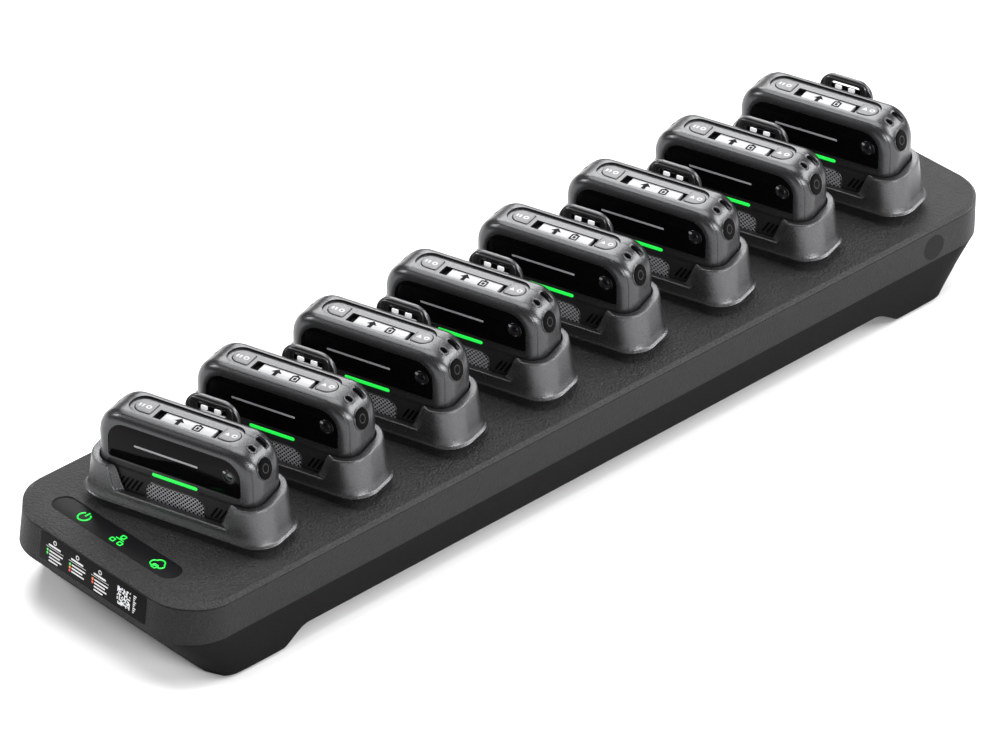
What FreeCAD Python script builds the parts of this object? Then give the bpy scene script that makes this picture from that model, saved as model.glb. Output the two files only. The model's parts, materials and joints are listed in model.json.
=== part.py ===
import FreeCAD, Part
import math
import os

import Sketcher
from FreeCAD import Rotation, Vector

# Eight-bay charging dock with eight body-worn radio units standing in its pockets.
# Axes: X across the dock, +Y away from the status panel, +Z up; the origin is on the
# table, under the middle of the dock.  Unit-local axes: x along the unit's face, y from
# its front to its back, z up from its lower end.

DRIVING_SIZES = {
    # dock outline
    "dock_width": (126.2, "outer width of the side band"),
    "dock_length": (501.8, "outer length of the side band"),
    "dock_corner": (24.0, "plan radius of the dock's corners"),
    "pad_stand": (0.5, "height of the moulded feet above the table"),
    "arch_height": (8.8, "underside of the dock between its feet"),
    "band_bottom": (23.3, "lower edge of the side band"),
    "band_top": (40.6, "seam between the side band and the top cover"),
    "cover_top": (42.9, "flat top of the dock"),
    "dock_wall": (2.4, "wall of the band and of the base tray"),
    "cover_bevel": (1.35, "bevel round the top cover"),
    "face_lean": (2.4, "how far the label face leans back over the band's height"),
    "roll_length": (8.5, "length of the top cover's sloping front edge"),
    # base tray
    "near_toe": (230.3, "front edge of the near foot, from the middle"),
    "near_heel": (200.0, "rear edge of the near foot"),
    "near_arch": (181.0, "where the arch reaches its full height, near end"),
    "far_toe": (220.0, "outer edge of the far foot"),
    "far_heel": (191.0, "inner edge of the far foot"),
    "far_arch": (171.0, "where the arch reaches its full height, far end"),
    "toe_corner": (11.0, "plan radius of the feet's outer corners"),
    "tray_floor": (11.4, "inside floor of the base tray"),
    "pad_length": (26.0, "length of a rubber foot pad"),
    "pad_depth": (14.0, "depth of a rubber foot pad"),
    "pad_thickness": (1.3, "thickness of a rubber foot pad"),
    # row of pockets
    "pitch": (56.0, "distance between neighbouring pockets"),
    "row_start": (-195.9, "Y of the first pocket's middle"),
    "row_side": (3.45, "X of every pocket's middle"),
    "turn": (16.217, "turn of each pocket about Z, in degrees"),
    "pocket_floor": (25.6, "height at which a unit rests"),
    "slip": (0.4, "gap between a unit and its pocket"),
    "cup_wall": (1.8, "wall of the pocket below the cover"),
    "cup_floor": (2.0, "floor of the pocket"),
    "cup_bead": (48.0, "height of the bead round the cup's foot"),
    "cup_waist": (51.5, "height at which the cup's wall straightens"),
    "cup_rim": (68.4, "height of the cup's rim at the back"),
    "cup_rim_front": (64.8, "height of the cup's rim at the front"),
    "cup_gate": (53.6, "lower edge of the cup's front opening"),
    "gate_bottom": (50.0, "width of the front opening at its lower edge"),
    "gate_top": (67.0, "width of the front opening at the rim"),
    # radio unit
    "unit_width": (82.8, "width of a unit"),
    "unit_depth": (24.0, "depth of a unit without its clip"),
    "unit_height": (66.0, "height of a unit"),
    "plan_corner": (7.5, "radius of the unit's upright edges"),
    "top_corner": (14.0, "radius of the unit's upper corners"),
    "foot_corner": (6.0, "radius of the unit's lower corners"),
    "shoulder": (4.5, "radius of the unit's upper front and back edges"),
    "front_seam": (2.0, "depth of the front cover"),
    "rear_seam": (15.5, "depth of the seam before the rear housing"),
    "unit_wall": (2.5, "wall of the unit's housings"),
    "top_wall": (5.5, "thickness of the unit's upper wall"),
    "bar_height": (40.6, "middle height of the light bar"),
    "window_low": (43.0, "lower edge of the front window"),
    "window_high": (61.3, "upper edge of the front window"),
    "window_half": (33.9, "half width of the front window"),
    "panel_drop": (0.8, "top panel below the unit's top"),
    "panel_thickness": (2.0, "thickness of the top panel"),
    "key_rise": (0.5, "key above the top panel"),
    "key_gap": (0.25, "gap round a key"),
    "key_flange": (0.6, "flange that holds a key under the panel"),
    "key_travel": (0.6, "travel of a key"),
    "clip_gap": (5.4, "space between the unit's back and the clip's plate"),
    "clip_thickness": (2.4, "thickness of the clip's plate"),
    "clip_width": (27.5, "width of the clip"),
    "clip_side": (0.55, "x of the clip's middle"),
    "clip_low": (36.0, "lower end of the clip"),
    "clip_high": (67.0, "upper end of the clip"),
    "pin_height": (54.0, "height of the clip's pivot"),
    "pin_reach": (2.3, "pivot behind the unit's back"),
    "pin_radius": (1.0, "radius of the clip's pivot pin"),
    "pin_clearance": (0.05, "radial running clearance on the pin"),
    "knuckle": (1.9, "outer radius of the pivot's knuckles"),
}
BAYS = 8

doc = FreeCAD.newDocument("ChargingDock")
sheet = doc.addObject("Spreadsheet::Sheet", "Sizes")
nodes = []


class Size:
    """A length that knows both its number and the sheet expression that gives it."""

    def __init__(self, value, text):
        self.value = value
        self.text = text

    def __add__(self, other):
        return Size(self.value + number(other), f"({self.text} + {words(other)})")

    def __radd__(self, other):
        return Size(number(other) + self.value, f"({words(other)} + {self.text})")

    def __sub__(self, other):
        return Size(self.value - number(other), f"({self.text} - {words(other)})")

    def __rsub__(self, other):
        return Size(number(other) - self.value, f"({words(other)} - {self.text})")

    def __mul__(self, other):
        return Size(self.value * number(other), f"({self.text} * {words(other)})")

    __rmul__ = __mul__

    def __truediv__(self, other):
        return Size(self.value / number(other), f"({self.text} / {words(other)})")

    def __neg__(self):
        return Size(-self.value, f"(0 - {self.text})")


def number(size):
    """Give the number of a Size or of a plain number."""
    return size.value if isinstance(size, Size) else float(size)


def words(size):
    """Give the expression text of a Size or of a plain number."""
    return size.text if isinstance(size, Size) else f"{float(size):.6f}"


def bind(target, path, size):
    """Tie one property of an object to the sheet."""
    target.setExpression(path, words(size))


class Cells:
    """The sheet's cells, read by name as Sizes."""


def fill_sheet():
    """Write the driving sizes into the sheet and return them as named Sizes."""
    cells = Cells()
    for row, (alias, (value, note)) in enumerate(DRIVING_SIZES.items(), start=1):
        sheet.set(f"A{row}", note)
        sheet.set(f"B{row}", str(value))
        sheet.setAlias(f"B{row}", alias)
        setattr(cells, alias, Size(value, f"Sizes.{alias}"))
    doc.recompute()
    return cells


c = fill_sheet()


# ---------------------------------------------------------------- sketches and features

def new_body(name):
    """Add an empty body."""
    body = doc.addObject("PartDesign::Body", name)
    body.Label = name
    return body


def new_sketch(body, plane, at):
    """Add a sketch on one of the body's origin planes, moved along the plane's normal."""
    sketch = body.newObject("Sketcher::SketchObject", f"{body.Name}_sketch")
    support = [item for item in body.Origin.OriginFeatures if item.Role == plane][0]
    sketch.AttachmentSupport = [(support, "")]
    sketch.MapMode = "FlatFace"
    bind(sketch, "AttachmentOffset.Base.z", at)
    return sketch


def hold(sketch, geometry, point, axis, size, name):
    """Fix one coordinate of a sketch point, measured from the sketch's origin."""
    if number(size) == 0:
        line = -2 if axis == "X" else -1
        sketch.addConstraint(Sketcher.Constraint("PointOnObject", geometry, point, line))
        return
    kind = f"Distance{axis}"
    index = sketch.addConstraint(
        Sketcher.Constraint(kind, -1, 1, geometry, point, number(size)))
    sketch.renameConstraint(index, name)
    bind(sketch, f"Constraints.{name}", size)


def rounded(sketch, left, right, bottom, top, low_radius, high_radius=None):
    """Draw a rectangle with tangent corner arcs; the upper corners may differ."""
    high_radius = low_radius if high_radius is None else high_radius
    x0, x1, y0, y1 = number(left), number(right), number(bottom), number(top)
    low, high = number(low_radius), number(high_radius)
    start = sketch.GeometryCount
    tag = f"g{start}"
    runs = [
        (Vector(x0 + low, y0), Vector(x1 - low, y0)),
        (Vector(x1, y0 + low), Vector(x1, y1 - high)),
        (Vector(x1 - high, y1), Vector(x0 + high, y1)),
        (Vector(x0, y1 - high), Vector(x0, y0 + low)),
    ]
    corners = [
        (Vector(x1 - low, y0 + low), low),
        (Vector(x1 - high, y1 - high), high),
        (Vector(x0 + high, y1 - high), high),
        (Vector(x0 + low, y0 + low), low),
    ]
    quarter = math.pi / 2
    for turn, (run, corner) in enumerate(zip(runs, corners)):
        sketch.addGeometry(Part.LineSegment(*run), False)
        circle = Part.Circle(corner[0], Vector(0, 0, 1), corner[1])
        first = (turn - 1) * quarter
        sketch.addGeometry(Part.ArcOfCircle(circle, first, first + quarter), False)
    for turn in range(4):
        line = start + 2 * turn
        following = start + (2 * turn + 2) % 8
        sketch.addConstraint(Sketcher.Constraint("Tangent", line, 2, line + 1, 1))
        sketch.addConstraint(Sketcher.Constraint("Tangent", line + 1, 2, following, 1))
        level = "Horizontal" if turn % 2 == 0 else "Vertical"
        sketch.addConstraint(Sketcher.Constraint(level, line))
    for first, second, radius, name in ((1, 7, low_radius, "low"), (3, 5, high_radius, "high")):
        sketch.addConstraint(Sketcher.Constraint("Equal", start + first, start + second))
        index = sketch.addConstraint(
            Sketcher.Constraint("Radius", start + first, number(radius)))
        sketch.renameConstraint(index, f"{tag}_{name}")
        bind(sketch, f"Constraints.{tag}_{name}", radius)
    hold(sketch, start, 1, "Y", bottom, f"{tag}_bottom")
    hold(sketch, start + 2, 1, "X", right, f"{tag}_right")
    hold(sketch, start + 4, 1, "Y", top, f"{tag}_top")
    hold(sketch, start + 6, 1, "X", left, f"{tag}_left")


def polygon(sketch, corners):
    """Draw a closed outline of straight runs through the given corners."""
    start = sketch.GeometryCount
    count = len(corners)
    for index in range(count):
        here = Vector(*[number(value) for value in corners[index]])
        there = Vector(*[number(value) for value in corners[(index + 1) % count]])
        sketch.addGeometry(Part.LineSegment(here, there), False)
    for index, (across, along) in enumerate(corners):
        line = start + index
        following = start + (index + 1) % count
        sketch.addConstraint(Sketcher.Constraint("Coincident", line, 2, following, 1))
        hold(sketch, line, 1, "X", across, f"g{line}_x")
        hold(sketch, line, 1, "Y", along, f"g{line}_y")


def ring(sketch, across, along, radius):
    """Draw a circle."""
    index = sketch.addGeometry(
        Part.Circle(Vector(number(across), number(along)), Vector(0, 0, 1), number(radius)))
    hold(sketch, index, 3, "X", across, f"g{index}_x")
    hold(sketch, index, 3, "Y", along, f"g{index}_y")
    constraint = sketch.addConstraint(Sketcher.Constraint("Radius", index, number(radius)))
    sketch.renameConstraint(constraint, f"g{index}_radius")
    bind(sketch, f"Constraints.g{index}_radius", radius)


NORMAL_SIGN = {"XY_Plane": 1, "XZ_Plane": -1, "YZ_Plane": 1}


def extrude(body, kind, plane, start, end, draw):
    """Add a Pad or a Pocket between two levels along the plane's own axis.

    The sketch lies at the level from which the feature runs the way FreeCAD does by
    default: along the plane's normal for a Pad, against it for a Pocket.
    """
    forward = NORMAL_SIGN[plane] * (1 if kind == "Pad" else -1)
    origin = start if forward > 0 else end
    sketch = new_sketch(body, plane, origin if NORMAL_SIGN[plane] > 0 else 0 - origin)
    draw(sketch)
    feature = body.newObject(f"PartDesign::{kind}", f"{body.Name}_{kind}")
    feature.Profile = sketch
    bind(feature, "Length", end - start)
    return feature


def pad(body, plane, start, end, draw):
    """Add material between two levels."""
    return extrude(body, "Pad", plane, start, end, draw)


def cut(body, plane, start, end, draw):
    """Remove material between two levels."""
    return extrude(body, "Pocket", plane, start, end, draw)


def box_outline(left, right, bottom, top):
    """Return a drawing function for a plain rectangle."""
    corners = [(left, bottom), (right, bottom), (right, top), (left, top)]
    return lambda sketch: polygon(sketch, corners)


def round_outline(left, right, bottom, top, radius, high_radius=None):
    """Return a drawing function for a rounded rectangle."""
    return lambda sketch: rounded(sketch, left, right, bottom, top, radius, high_radius)


def ring_outline(places, radius):
    """Return a drawing function for circles of one radius."""
    def draw(sketch):
        for across, along in places:
            ring(sketch, across, along, radius)
    return draw


def compound(name, members):
    """Group solids of one kind into one node."""
    group = doc.addObject("Part::Compound", name)
    group.Label = name
    group.Links = members
    return group


def subtract(name, base, tool):
    """Cut one object from another."""
    result = doc.addObject("Part::Cut", name)
    result.Label = name
    result.Base = base
    result.Tool = tool
    return result


def keep(item, name):
    """Mark an object as a node of the model."""
    item.Label = name
    nodes.append((name, item))
    return item


def stand_in_bay(item, bay, height):
    """Turn an object and set it in its bay of the dock."""
    bind(item, "Placement.Base.x", c.row_side)
    bind(item, "Placement.Base.y", c.row_start + c.pitch * bay)
    bind(item, "Placement.Base.z", height)
    bind(item, "Placement.Rotation.Angle", c.turn)
    return item


# ---------------------------------------------------------------- dock

HALF_WIDTH = c.dock_width / 2
HALF_LENGTH = c.dock_length / 2
POST_PLACES = [(side * 56, along) for side in (-1, 1) for along in (-160, -55, 55, 155)]
STANDOFF_PLACES = [(side * 44, along) for side in (-1, 1) for along in (-190, 0, 190)]
STANDOFF_RADIUS = 3.0
STANDOFF_HEIGHT = 2.6
PAD_PLACES = [(side * 42, along) for side in (-1, 1) for along in (-215, 205)]
TRAY_END_WALL = 15.0
LABEL_SIZE = (70.0, 0.3, 13.7)
LABEL_LEFT = -34.5
LABEL_RISE = 3.1
BADGE_SIZE = (6.4, 0.6)
BADGE_PLACE = (208.6, 31.2)
POST_RADIUS = 3.5
SCREW_RADIUS = 1.5
SCREW_HEAD = 2.8
PANEL_MIDDLE = (-4.65, -231.3)
PANEL_HALF = (40.35, 5.8)
ICON_PLACES = (-26.2, -2.6, 22.6)
ICON_RADII = (3.4, 2.6)
BOARD_HALF = (48.0, 225.0)
BOARD_THICKNESS = 1.6
BLOCK_HALF = (9.0, 3.0)
BLOCK_GAP = 0.3
BLOCK_RISE = 1.2
STRIP_THICKNESS = 0.2
CUP_FOOT = (45.8, 15.3, 11.4)
CUP_BEAD = (49.8, 17.0, 12.6)
CUP_WAIST = (47.9, 16.0, 12.0)
CUP_RIM = (45.3, 14.9, 11.0)
INLET = (-30, -14, 27, 37)
NETWORK = (10, 26, 25.5, 38.5)


def dock_outline(inset):
    """Draw the dock's plan outline, moved inwards by a wall."""
    return round_outline(inset - HALF_WIDTH, HALF_WIDTH - inset, inset - HALF_LENGTH,
                         HALF_LENGTH - inset, c.dock_corner - inset)


def make_base_tray():
    """Lower tub with a moulded foot across each end and an arch between them."""
    tray = new_body("tray_blank")
    foot = new_sketch(tray, "XY_Plane", c.pad_stand)
    rounded(foot, -HALF_WIDTH, HALF_WIDTH, -c.near_toe, c.far_toe, c.toe_corner)
    seam = new_sketch(tray, "XY_Plane", c.band_bottom)
    rounded(seam, -HALF_WIDTH, HALF_WIDTH, -HALF_LENGTH, HALF_LENGTH, c.dock_corner)
    block = tray.newObject("PartDesign::AdditiveLoft", "tray_loft")
    block.Profile = foot
    block.Sections = [seam]
    block.Ruled = True
    below = c.pad_stand - 1
    cut(tray, "YZ_Plane", -HALF_WIDTH - 1, HALF_WIDTH + 1, lambda sketch: polygon(sketch, [
        (-c.near_heel, below), (c.far_heel, below), (c.far_heel, c.pad_stand),
        (c.far_arch, c.arch_height), (-c.near_arch, c.arch_height),
        (-c.near_heel, c.pad_stand)]))
    cut(tray, "XY_Plane", c.tray_floor, c.band_bottom, round_outline(
        c.dock_wall - HALF_WIDTH, HALF_WIDTH - c.dock_wall, TRAY_END_WALL - HALF_LENGTH,
        HALF_LENGTH - TRAY_END_WALL, c.dock_corner - c.dock_wall))
    pad(tray, "XY_Plane", c.tray_floor - 0.5, c.tray_floor + STANDOFF_HEIGHT, ring_outline(
        STANDOFF_PLACES, STANDOFF_RADIUS))
    cut(tray, "XY_Plane", 0, c.tray_floor, ring_outline(POST_PLACES, SCREW_RADIUS + 0.3))
    cut(tray, "XY_Plane", 0, c.arch_height + 1.4, ring_outline(POST_PLACES, SCREW_HEAD + 0.3))
    pads = []
    for across, along in PAD_PLACES:
        recess = new_body("pad_recess")
        pad(recess, "XY_Plane", 0, c.pad_thickness, round_outline(
            across - c.pad_length / 2, across + c.pad_length / 2, along - c.pad_depth / 2,
            along + c.pad_depth / 2, c.pad_depth / 2 - 1))
        pads.append(recess)
    foot_pads = keep(compound("foot_pads", pads), "foot_pads")
    keep(subtract("base_tray", tray, foot_pads), "base_tray")


def make_side_band():
    """Mid-height wall with the leaning label face and the two sockets' openings."""
    band = new_body("band_blank")
    pad(band, "XY_Plane", c.band_bottom, c.band_top, dock_outline(0))
    inner = c.dock_wall + c.face_lean
    cut(band, "XY_Plane", c.band_bottom, c.band_top, round_outline(
        c.dock_wall - HALF_WIDTH, HALF_WIDTH - c.dock_wall, inner - HALF_LENGTH,
        HALF_LENGTH - c.dock_wall, c.dock_corner - c.dock_wall))
    cut(band, "YZ_Plane", -HALF_WIDTH - 1, HALF_WIDTH + 1, lambda sketch: polygon(sketch, [
        (-HALF_LENGTH - 1, c.band_bottom), (-HALF_LENGTH, c.band_bottom),
        (c.face_lean - HALF_LENGTH, c.band_top), (-HALF_LENGTH - 1, c.band_top)]))
    for left, right, bottom, top in (INLET, NETWORK):
        cut(band, "XZ_Plane", HALF_LENGTH - 5, HALF_LENGTH, box_outline(left, right, bottom, top))
    label = make_label()
    badge = make_side_badge()
    tools = doc.addObject("Part::MultiFuse", "band_inlays")
    tools.Shapes = [label, badge]
    keep(subtract("side_band", band, tools), "side_band")


def make_label():
    """Thin instruction label let into the leaning front face."""
    label = doc.addObject("Part::Box", "instruction_label")
    for path, length in zip(("Length", "Width", "Height"), LABEL_SIZE):
        bind(label, path, length)
    band_height = c.band_top - c.band_bottom
    bind(label, "Placement.Base.x", LABEL_LEFT)
    bind(label, "Placement.Base.y", c.face_lean * LABEL_RISE / band_height - HALF_LENGTH)
    bind(label, "Placement.Base.z", c.band_bottom + LABEL_RISE)
    label.Placement.Rotation = Rotation(Vector(-1, 0, 0), 1)
    lean = f"atan({c.face_lean.text} / {band_height.text})"
    label.setExpression("Placement.Rotation.Angle", lean)
    return keep(label, "instruction_label")


def make_side_badge():
    """Round badge let into the long side near the far end."""
    badge = doc.addObject("Part::Cylinder", "side_badge")
    radius, thickness = BADGE_SIZE
    along, height = BADGE_PLACE
    bind(badge, "Radius", radius)
    bind(badge, "Height", thickness)
    bind(badge, "Placement.Base.x", HALF_WIDTH - thickness)
    bind(badge, "Placement.Base.y", along)
    bind(badge, "Placement.Base.z", height)
    badge.Placement.Rotation = Rotation(Vector(0, 1, 0), 90)
    return keep(badge, "side_badge")


def make_top_cover():
    """Top plate with a bevelled edge, a sloping front edge and eight openings."""
    cover = new_body("cover_blank")
    front = c.face_lean - HALF_LENGTH
    pad(cover, "XY_Plane", c.band_top, c.cover_top, round_outline(
        -HALF_WIDTH, HALF_WIDTH, front, HALF_LENGTH, c.dock_corner))
    doc.recompute()
    top = c.cover_top.value
    rim = [f"Edge{index}" for index, edge in enumerate(cover.Shape.Edges, start=1)
           if min(vertex.Z for vertex in edge.Vertexes) > top - 0.01]
    plate = cover.Tip
    bevel = cover.newObject("PartDesign::Chamfer", "cover_edge")
    bevel.Base = (plate, rim)
    bind(bevel, "Size", c.cover_bevel)
    cut(cover, "YZ_Plane", -HALF_WIDTH - 1, HALF_WIDTH + 1, lambda sketch: polygon(sketch, [
        (front - 1, c.band_top + 0.3), (front, c.band_top + 0.3),
        (front + c.roll_length, c.cover_top), (front + c.roll_length, c.cover_top + 1),
        (front - 1, c.cover_top + 1)]))
    pad(cover, "XY_Plane", c.tray_floor, c.band_top + 0.5, ring_outline(POST_PLACES, POST_RADIUS))
    cut(cover, "XY_Plane", c.tray_floor, c.band_top - 12, ring_outline(POST_PLACES, SCREW_RADIUS))
    across, along = PANEL_MIDDLE
    half_across, half_along = PANEL_HALF
    cut(cover, "XY_Plane", c.cover_top - 1.7, c.cover_top, round_outline(
        across - half_across, across + half_across, along - half_along, along + half_along,
        half_along - 0.05))
    openings = []
    for bay in range(BAYS):
        opening = new_body("cup_opening")
        half_across = c.unit_width / 2 + c.slip + c.cup_wall + 0.4
        half_along = c.unit_depth / 2 + c.slip + c.cup_wall + 0.4
        pad(opening, "XY_Plane", c.band_top - 1, c.cover_top + 1, round_outline(
            -half_across, half_across, -half_along, half_along,
            c.plan_corner + c.slip + c.cup_wall + 0.4))
        openings.append(stand_in_bay(opening, bay, 0))
    keep(subtract("top_cover", cover, compound("cup_openings", openings)), "top_cover")


def make_status_panel():
    """Dark stadium-shaped panel with three lit rings."""
    across, along = PANEL_MIDDLE
    half_across, half_along = PANEL_HALF
    panel = new_body("status_panel")
    face = c.cover_top - 0.5
    pad(panel, "XY_Plane", c.cover_top - 1.7, face, round_outline(
        across - half_across, across + half_across, along - half_along, along + half_along,
        half_along - 0.05))
    keep(panel, "status_panel")
    rings = []
    outer, inner = ICON_RADII
    for place in ICON_PLACES:
        icon = new_body("status_ring")
        pad(icon, "XY_Plane", face, face + 0.1, ring_outline([(place, along)], outer))
        cut(icon, "XY_Plane", face, face + 0.1, ring_outline([(place, along)], inner))
        rings.append(icon)
    keep(compound("status_icons", rings), "status_icons")


def make_socket(name, frame, depth, inset, pin_length):
    """Socket housing with a square cavity open at the far end and pins on its back wall."""
    left, right, bottom, top = frame
    body = new_body(name)
    back = HALF_LENGTH - depth
    pad(body, "XZ_Plane", back, HALF_LENGTH, box_outline(left, right, bottom, top))
    cut(body, "XZ_Plane", back + 2, HALF_LENGTH, box_outline(
        left + inset, right - inset, bottom + inset, top - inset))
    middle = (left + right) / 2
    height = (bottom + top) / 2
    for side in (-1, 1):
        pad(body, "XZ_Plane", back + 1, back + 2 + pin_length, box_outline(
            middle + side * 2.5 - 0.5, middle + side * 2.5 + 0.5, height - 1, height + 1))
    keep(body, name)


def make_cup(bay):
    """One pocket: a tub through the cover with a flared collar that stands above it."""
    cup = new_body(f"cup_{bay + 1}")
    sections = (
        (c.cover_top, CUP_FOOT),
        (c.cup_bead, CUP_BEAD),
        (c.cup_waist, CUP_WAIST),
        (c.cup_rim, CUP_RIM),
    )
    sketches = []
    for height, (half_across, half_along, radius) in sections:
        sketch = new_sketch(cup, "XY_Plane", height)
        rounded(sketch, -half_across, half_across, -half_along, half_along, radius)
        sketches.append(sketch)
    collar = cup.newObject("PartDesign::AdditiveLoft", "collar")
    collar.Profile = sketches[0]
    collar.Sections = sketches[1:]
    collar.Ruled = True
    half_across = c.unit_width / 2 + c.slip
    half_along = c.unit_depth / 2 + c.slip
    inner = c.plan_corner + c.slip
    pad(cup, "XY_Plane", c.pocket_floor - c.cup_floor, c.cover_top + 1, round_outline(
        -half_across - c.cup_wall, half_across + c.cup_wall, -half_along - c.cup_wall,
        half_along + c.cup_wall, inner + c.cup_wall))
    cut(cup, "XY_Plane", c.pocket_floor, c.cup_rim + 1, round_outline(
        -half_across, half_across, -half_along, half_along, inner))
    cut(cup, "XY_Plane", c.pocket_floor - c.cup_floor - 1, c.pocket_floor,
        block_outline(BLOCK_GAP))
    cut(cup, "YZ_Plane", -60, 60, lambda sketch: polygon(sketch, [
        (-20, c.cup_rim_front), (20, c.cup_rim + 0.4), (20, c.cup_rim + 2),
        (-20, c.cup_rim + 2)]))
    cut(cup, "XZ_Plane", -20, -8, lambda sketch: polygon(sketch, [
        (-c.gate_bottom / 2, c.cup_gate), (c.gate_bottom / 2, c.cup_gate),
        (c.gate_top / 2, c.cup_rim_front - 0.5), (c.gate_top / 2, c.cup_rim + 2),
        (-c.gate_top / 2, c.cup_rim + 2), (-c.gate_top / 2, c.cup_rim_front - 0.5)]))
    return stand_in_bay(cup, bay, 0)


def block_outline(gap):
    """Outline of a contact block, widened by a gap."""
    half_across, half_along = BLOCK_HALF
    return box_outline(-half_across - gap, half_across + gap, -half_along - gap,
                       half_along + gap)


def make_electronics():
    """Main board, a contact block under every pocket and the contact strips on it."""
    board = new_body("main_board")
    level = c.tray_floor + STANDOFF_HEIGHT
    half_across, half_along = BOARD_HALF
    pad(board, "XY_Plane", level, level + BOARD_THICKNESS, round_outline(
        -half_across, half_across, -half_along, half_along, 4))
    keep(board, "main_board")
    blocks = []
    strips = []
    for bay in range(BAYS):
        block = new_body("contact_block")
        top = c.pocket_floor + BLOCK_RISE
        pad(block, "XY_Plane", level + BOARD_THICKNESS, top, block_outline(0))
        blocks.append(stand_in_bay(block, bay, 0))
        for place in CONTACT_PLACES:
            strip = new_body("contact_strip")
            pad(strip, "XY_Plane", top, top + STRIP_THICKNESS, contact_outline(place))
            strips.append(stand_in_bay(strip, bay, 0))
    keep(compound("contact_blocks", blocks), "contact_blocks")
    keep(compound("contact_strips", strips), "contact_strips")


def make_case_screws():
    """Screws that hold the base tray to the cover's posts."""
    screws = []
    for place in POST_PLACES:
        screw = new_body("case_screw")
        pad(screw, "XY_Plane", c.arch_height + 0.1, c.arch_height + 1.4,
            ring_outline([place], SCREW_HEAD))
        pad(screw, "XY_Plane", c.arch_height + 1, c.arch_height + 14,
            ring_outline([place], SCREW_RADIUS))
        screws.append(screw)
    keep(compound("case_screws", screws), "case_screws")


# ---------------------------------------------------------------- radio unit

FRONT = -c.unit_depth / 2
BACK = c.unit_depth / 2
HALF_UNIT = c.unit_width / 2
TOP = c.unit_height
PANEL_TOP = c.unit_height - c.panel_drop
PANEL_SEAT = PANEL_TOP - c.panel_thickness
WELL_FLOOR = PANEL_SEAT - c.key_travel - 1.2
KEYS = {"left_key": (-26.6, -17.2, -4.1, 4.5), "right_key": (17.6, 26.3, -4.5, 4.4)}
TOP_PANEL = (-29.2, 27.4, -6.3, 7.2)
DISPLAY = (-11.5, 14.5, -5.1, 1.7)
GRILLE = (-15.4, 15.4, 20.4, 36.4)
LIGHT_BAR_HALF = (11.5, 0.8)
CAMERA = (28.0, 52.9)
SLANT_SLOTS = ((-31.0, 4), (18.0, 3))
SLANT_PITCH = 3.0
SPEAKER = (0, 26)
SPEAKER_RADIUS = 12.5
MAGNET_RADIUS = 9.0
CONTACT_PLACES = (-6.0, -2.0, 2.0, 6.0)
CONTACT_LEVELS = (1.5, 2.5)
CONTACT_RECESS = (9.6, 3.6, 1.5)
CORNER_SINK = 1.2
MIC_TILT = 28.0
MIC_DEPTH = -2.5
MIC_RADIUS = 2.6
MIC_RIM = 1.1
DISC_TILT = 71.0
DISC_DEPTH = -2.8
DISC_RADIUS = 4.9
CORNER_RISE = 0.3
SENSOR_TILT = 31.0
SENSOR_DEPTH = 3.7
SENSOR_SIZE = (7.5, 2.8)
BOSS_PLACES = [(side * 34, along) for side in (-1, 1) for along in (7, 55)]


def frame_cut(body, plane, start, end, outer, inner):
    """Trim a body to an outline by cutting away everything between it and a wide frame."""
    def draw(sketch):
        polygon(sketch, outer)
        inner(sketch)
    cut(body, plane, start, end, draw)


def unit_slab(name, front, back):
    """A slice of the unit's outer shape between two depths.

    The whole shape is the common volume of three rounded outlines: seen from the front,
    from above and from the side.
    """
    body = new_body(name)
    pad(body, "XZ_Plane", front, back, round_outline(
        -HALF_UNIT, HALF_UNIT, 0, TOP, c.foot_corner, c.top_corner))
    frame_cut(body, "XY_Plane", -1, TOP + 1,
              [(-60, -40), (60, -40), (60, 40), (-60, 40)],
              round_outline(-HALF_UNIT, HALF_UNIT, FRONT, BACK, c.plan_corner))
    frame_cut(body, "YZ_Plane", -HALF_UNIT - 1, HALF_UNIT + 1,
              [(-30, -10), (30, -10), (30, 90), (-30, 90)],
              round_outline(FRONT, BACK, 0, TOP, 1.0, c.shoulder))
    return body


def cut_contact_recess(body):
    """Recess under the unit for the dock's contact block."""
    half_across, half_deep, height = CONTACT_RECESS
    cut(body, "XY_Plane", -1, height, box_outline(
        -half_across, half_across, -half_deep, half_deep))


def contact_outline(place):
    """Outline of one charging contact."""
    return box_outline(place - 0.8, place + 0.8, -2, 2)


def cut_panel_seat(body, level):
    """Stadium-shaped recess in the unit's top, down to a level."""
    left, right, front, back = TOP_PANEL
    cut(body, "XY_Plane", level, TOP + 1, round_outline(left, right, front, back, 6.0))


def cut_key_wells(body):
    """Two wells in which the keys and their flanges move."""
    for left, right, front, back in KEYS.values():
        grow = c.key_gap + c.key_flange
        cut(body, "XY_Plane", WELL_FLOOR, PANEL_SEAT, round_outline(
            left - grow, right + grow, front - grow, back + grow, 2.6))


def cut_key_holes(body):
    """Two holes in the top panel for the keys' caps."""
    for left, right, front, back in KEYS.values():
        gap = c.key_gap
        cut(body, "XY_Plane", PANEL_SEAT - 0.01, PANEL_TOP + 1, round_outline(
            left - gap, right + gap, front - gap, back + gap, 2.2))


def make_key(bay, name):
    """One press key: a cap on a flange."""
    left, right, front, back = KEYS[name]
    key = new_body(f"radio_{bay + 1}_{name}")
    flange_top = PANEL_SEAT - 0.2
    flange = c.key_flange
    pad(key, "XY_Plane", flange_top - 0.8, flange_top, round_outline(
        left - flange, right + flange, front - flange, back + flange, 2.4))
    pad(key, "XY_Plane", flange_top - 0.4, PANEL_TOP + c.key_rise, round_outline(
        left, right, front, back, 2.0))
    keep(stand_in_bay(key, bay, c.pocket_floor), f"radio_{bay + 1}_{name}")


CLIP_LEFT = c.clip_side - c.clip_width / 2
CLIP_RIGHT = c.clip_side + c.clip_width / 2
CLIP_FRONT = BACK + c.clip_gap
PIN_DEPTH = BACK + c.pin_reach


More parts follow.
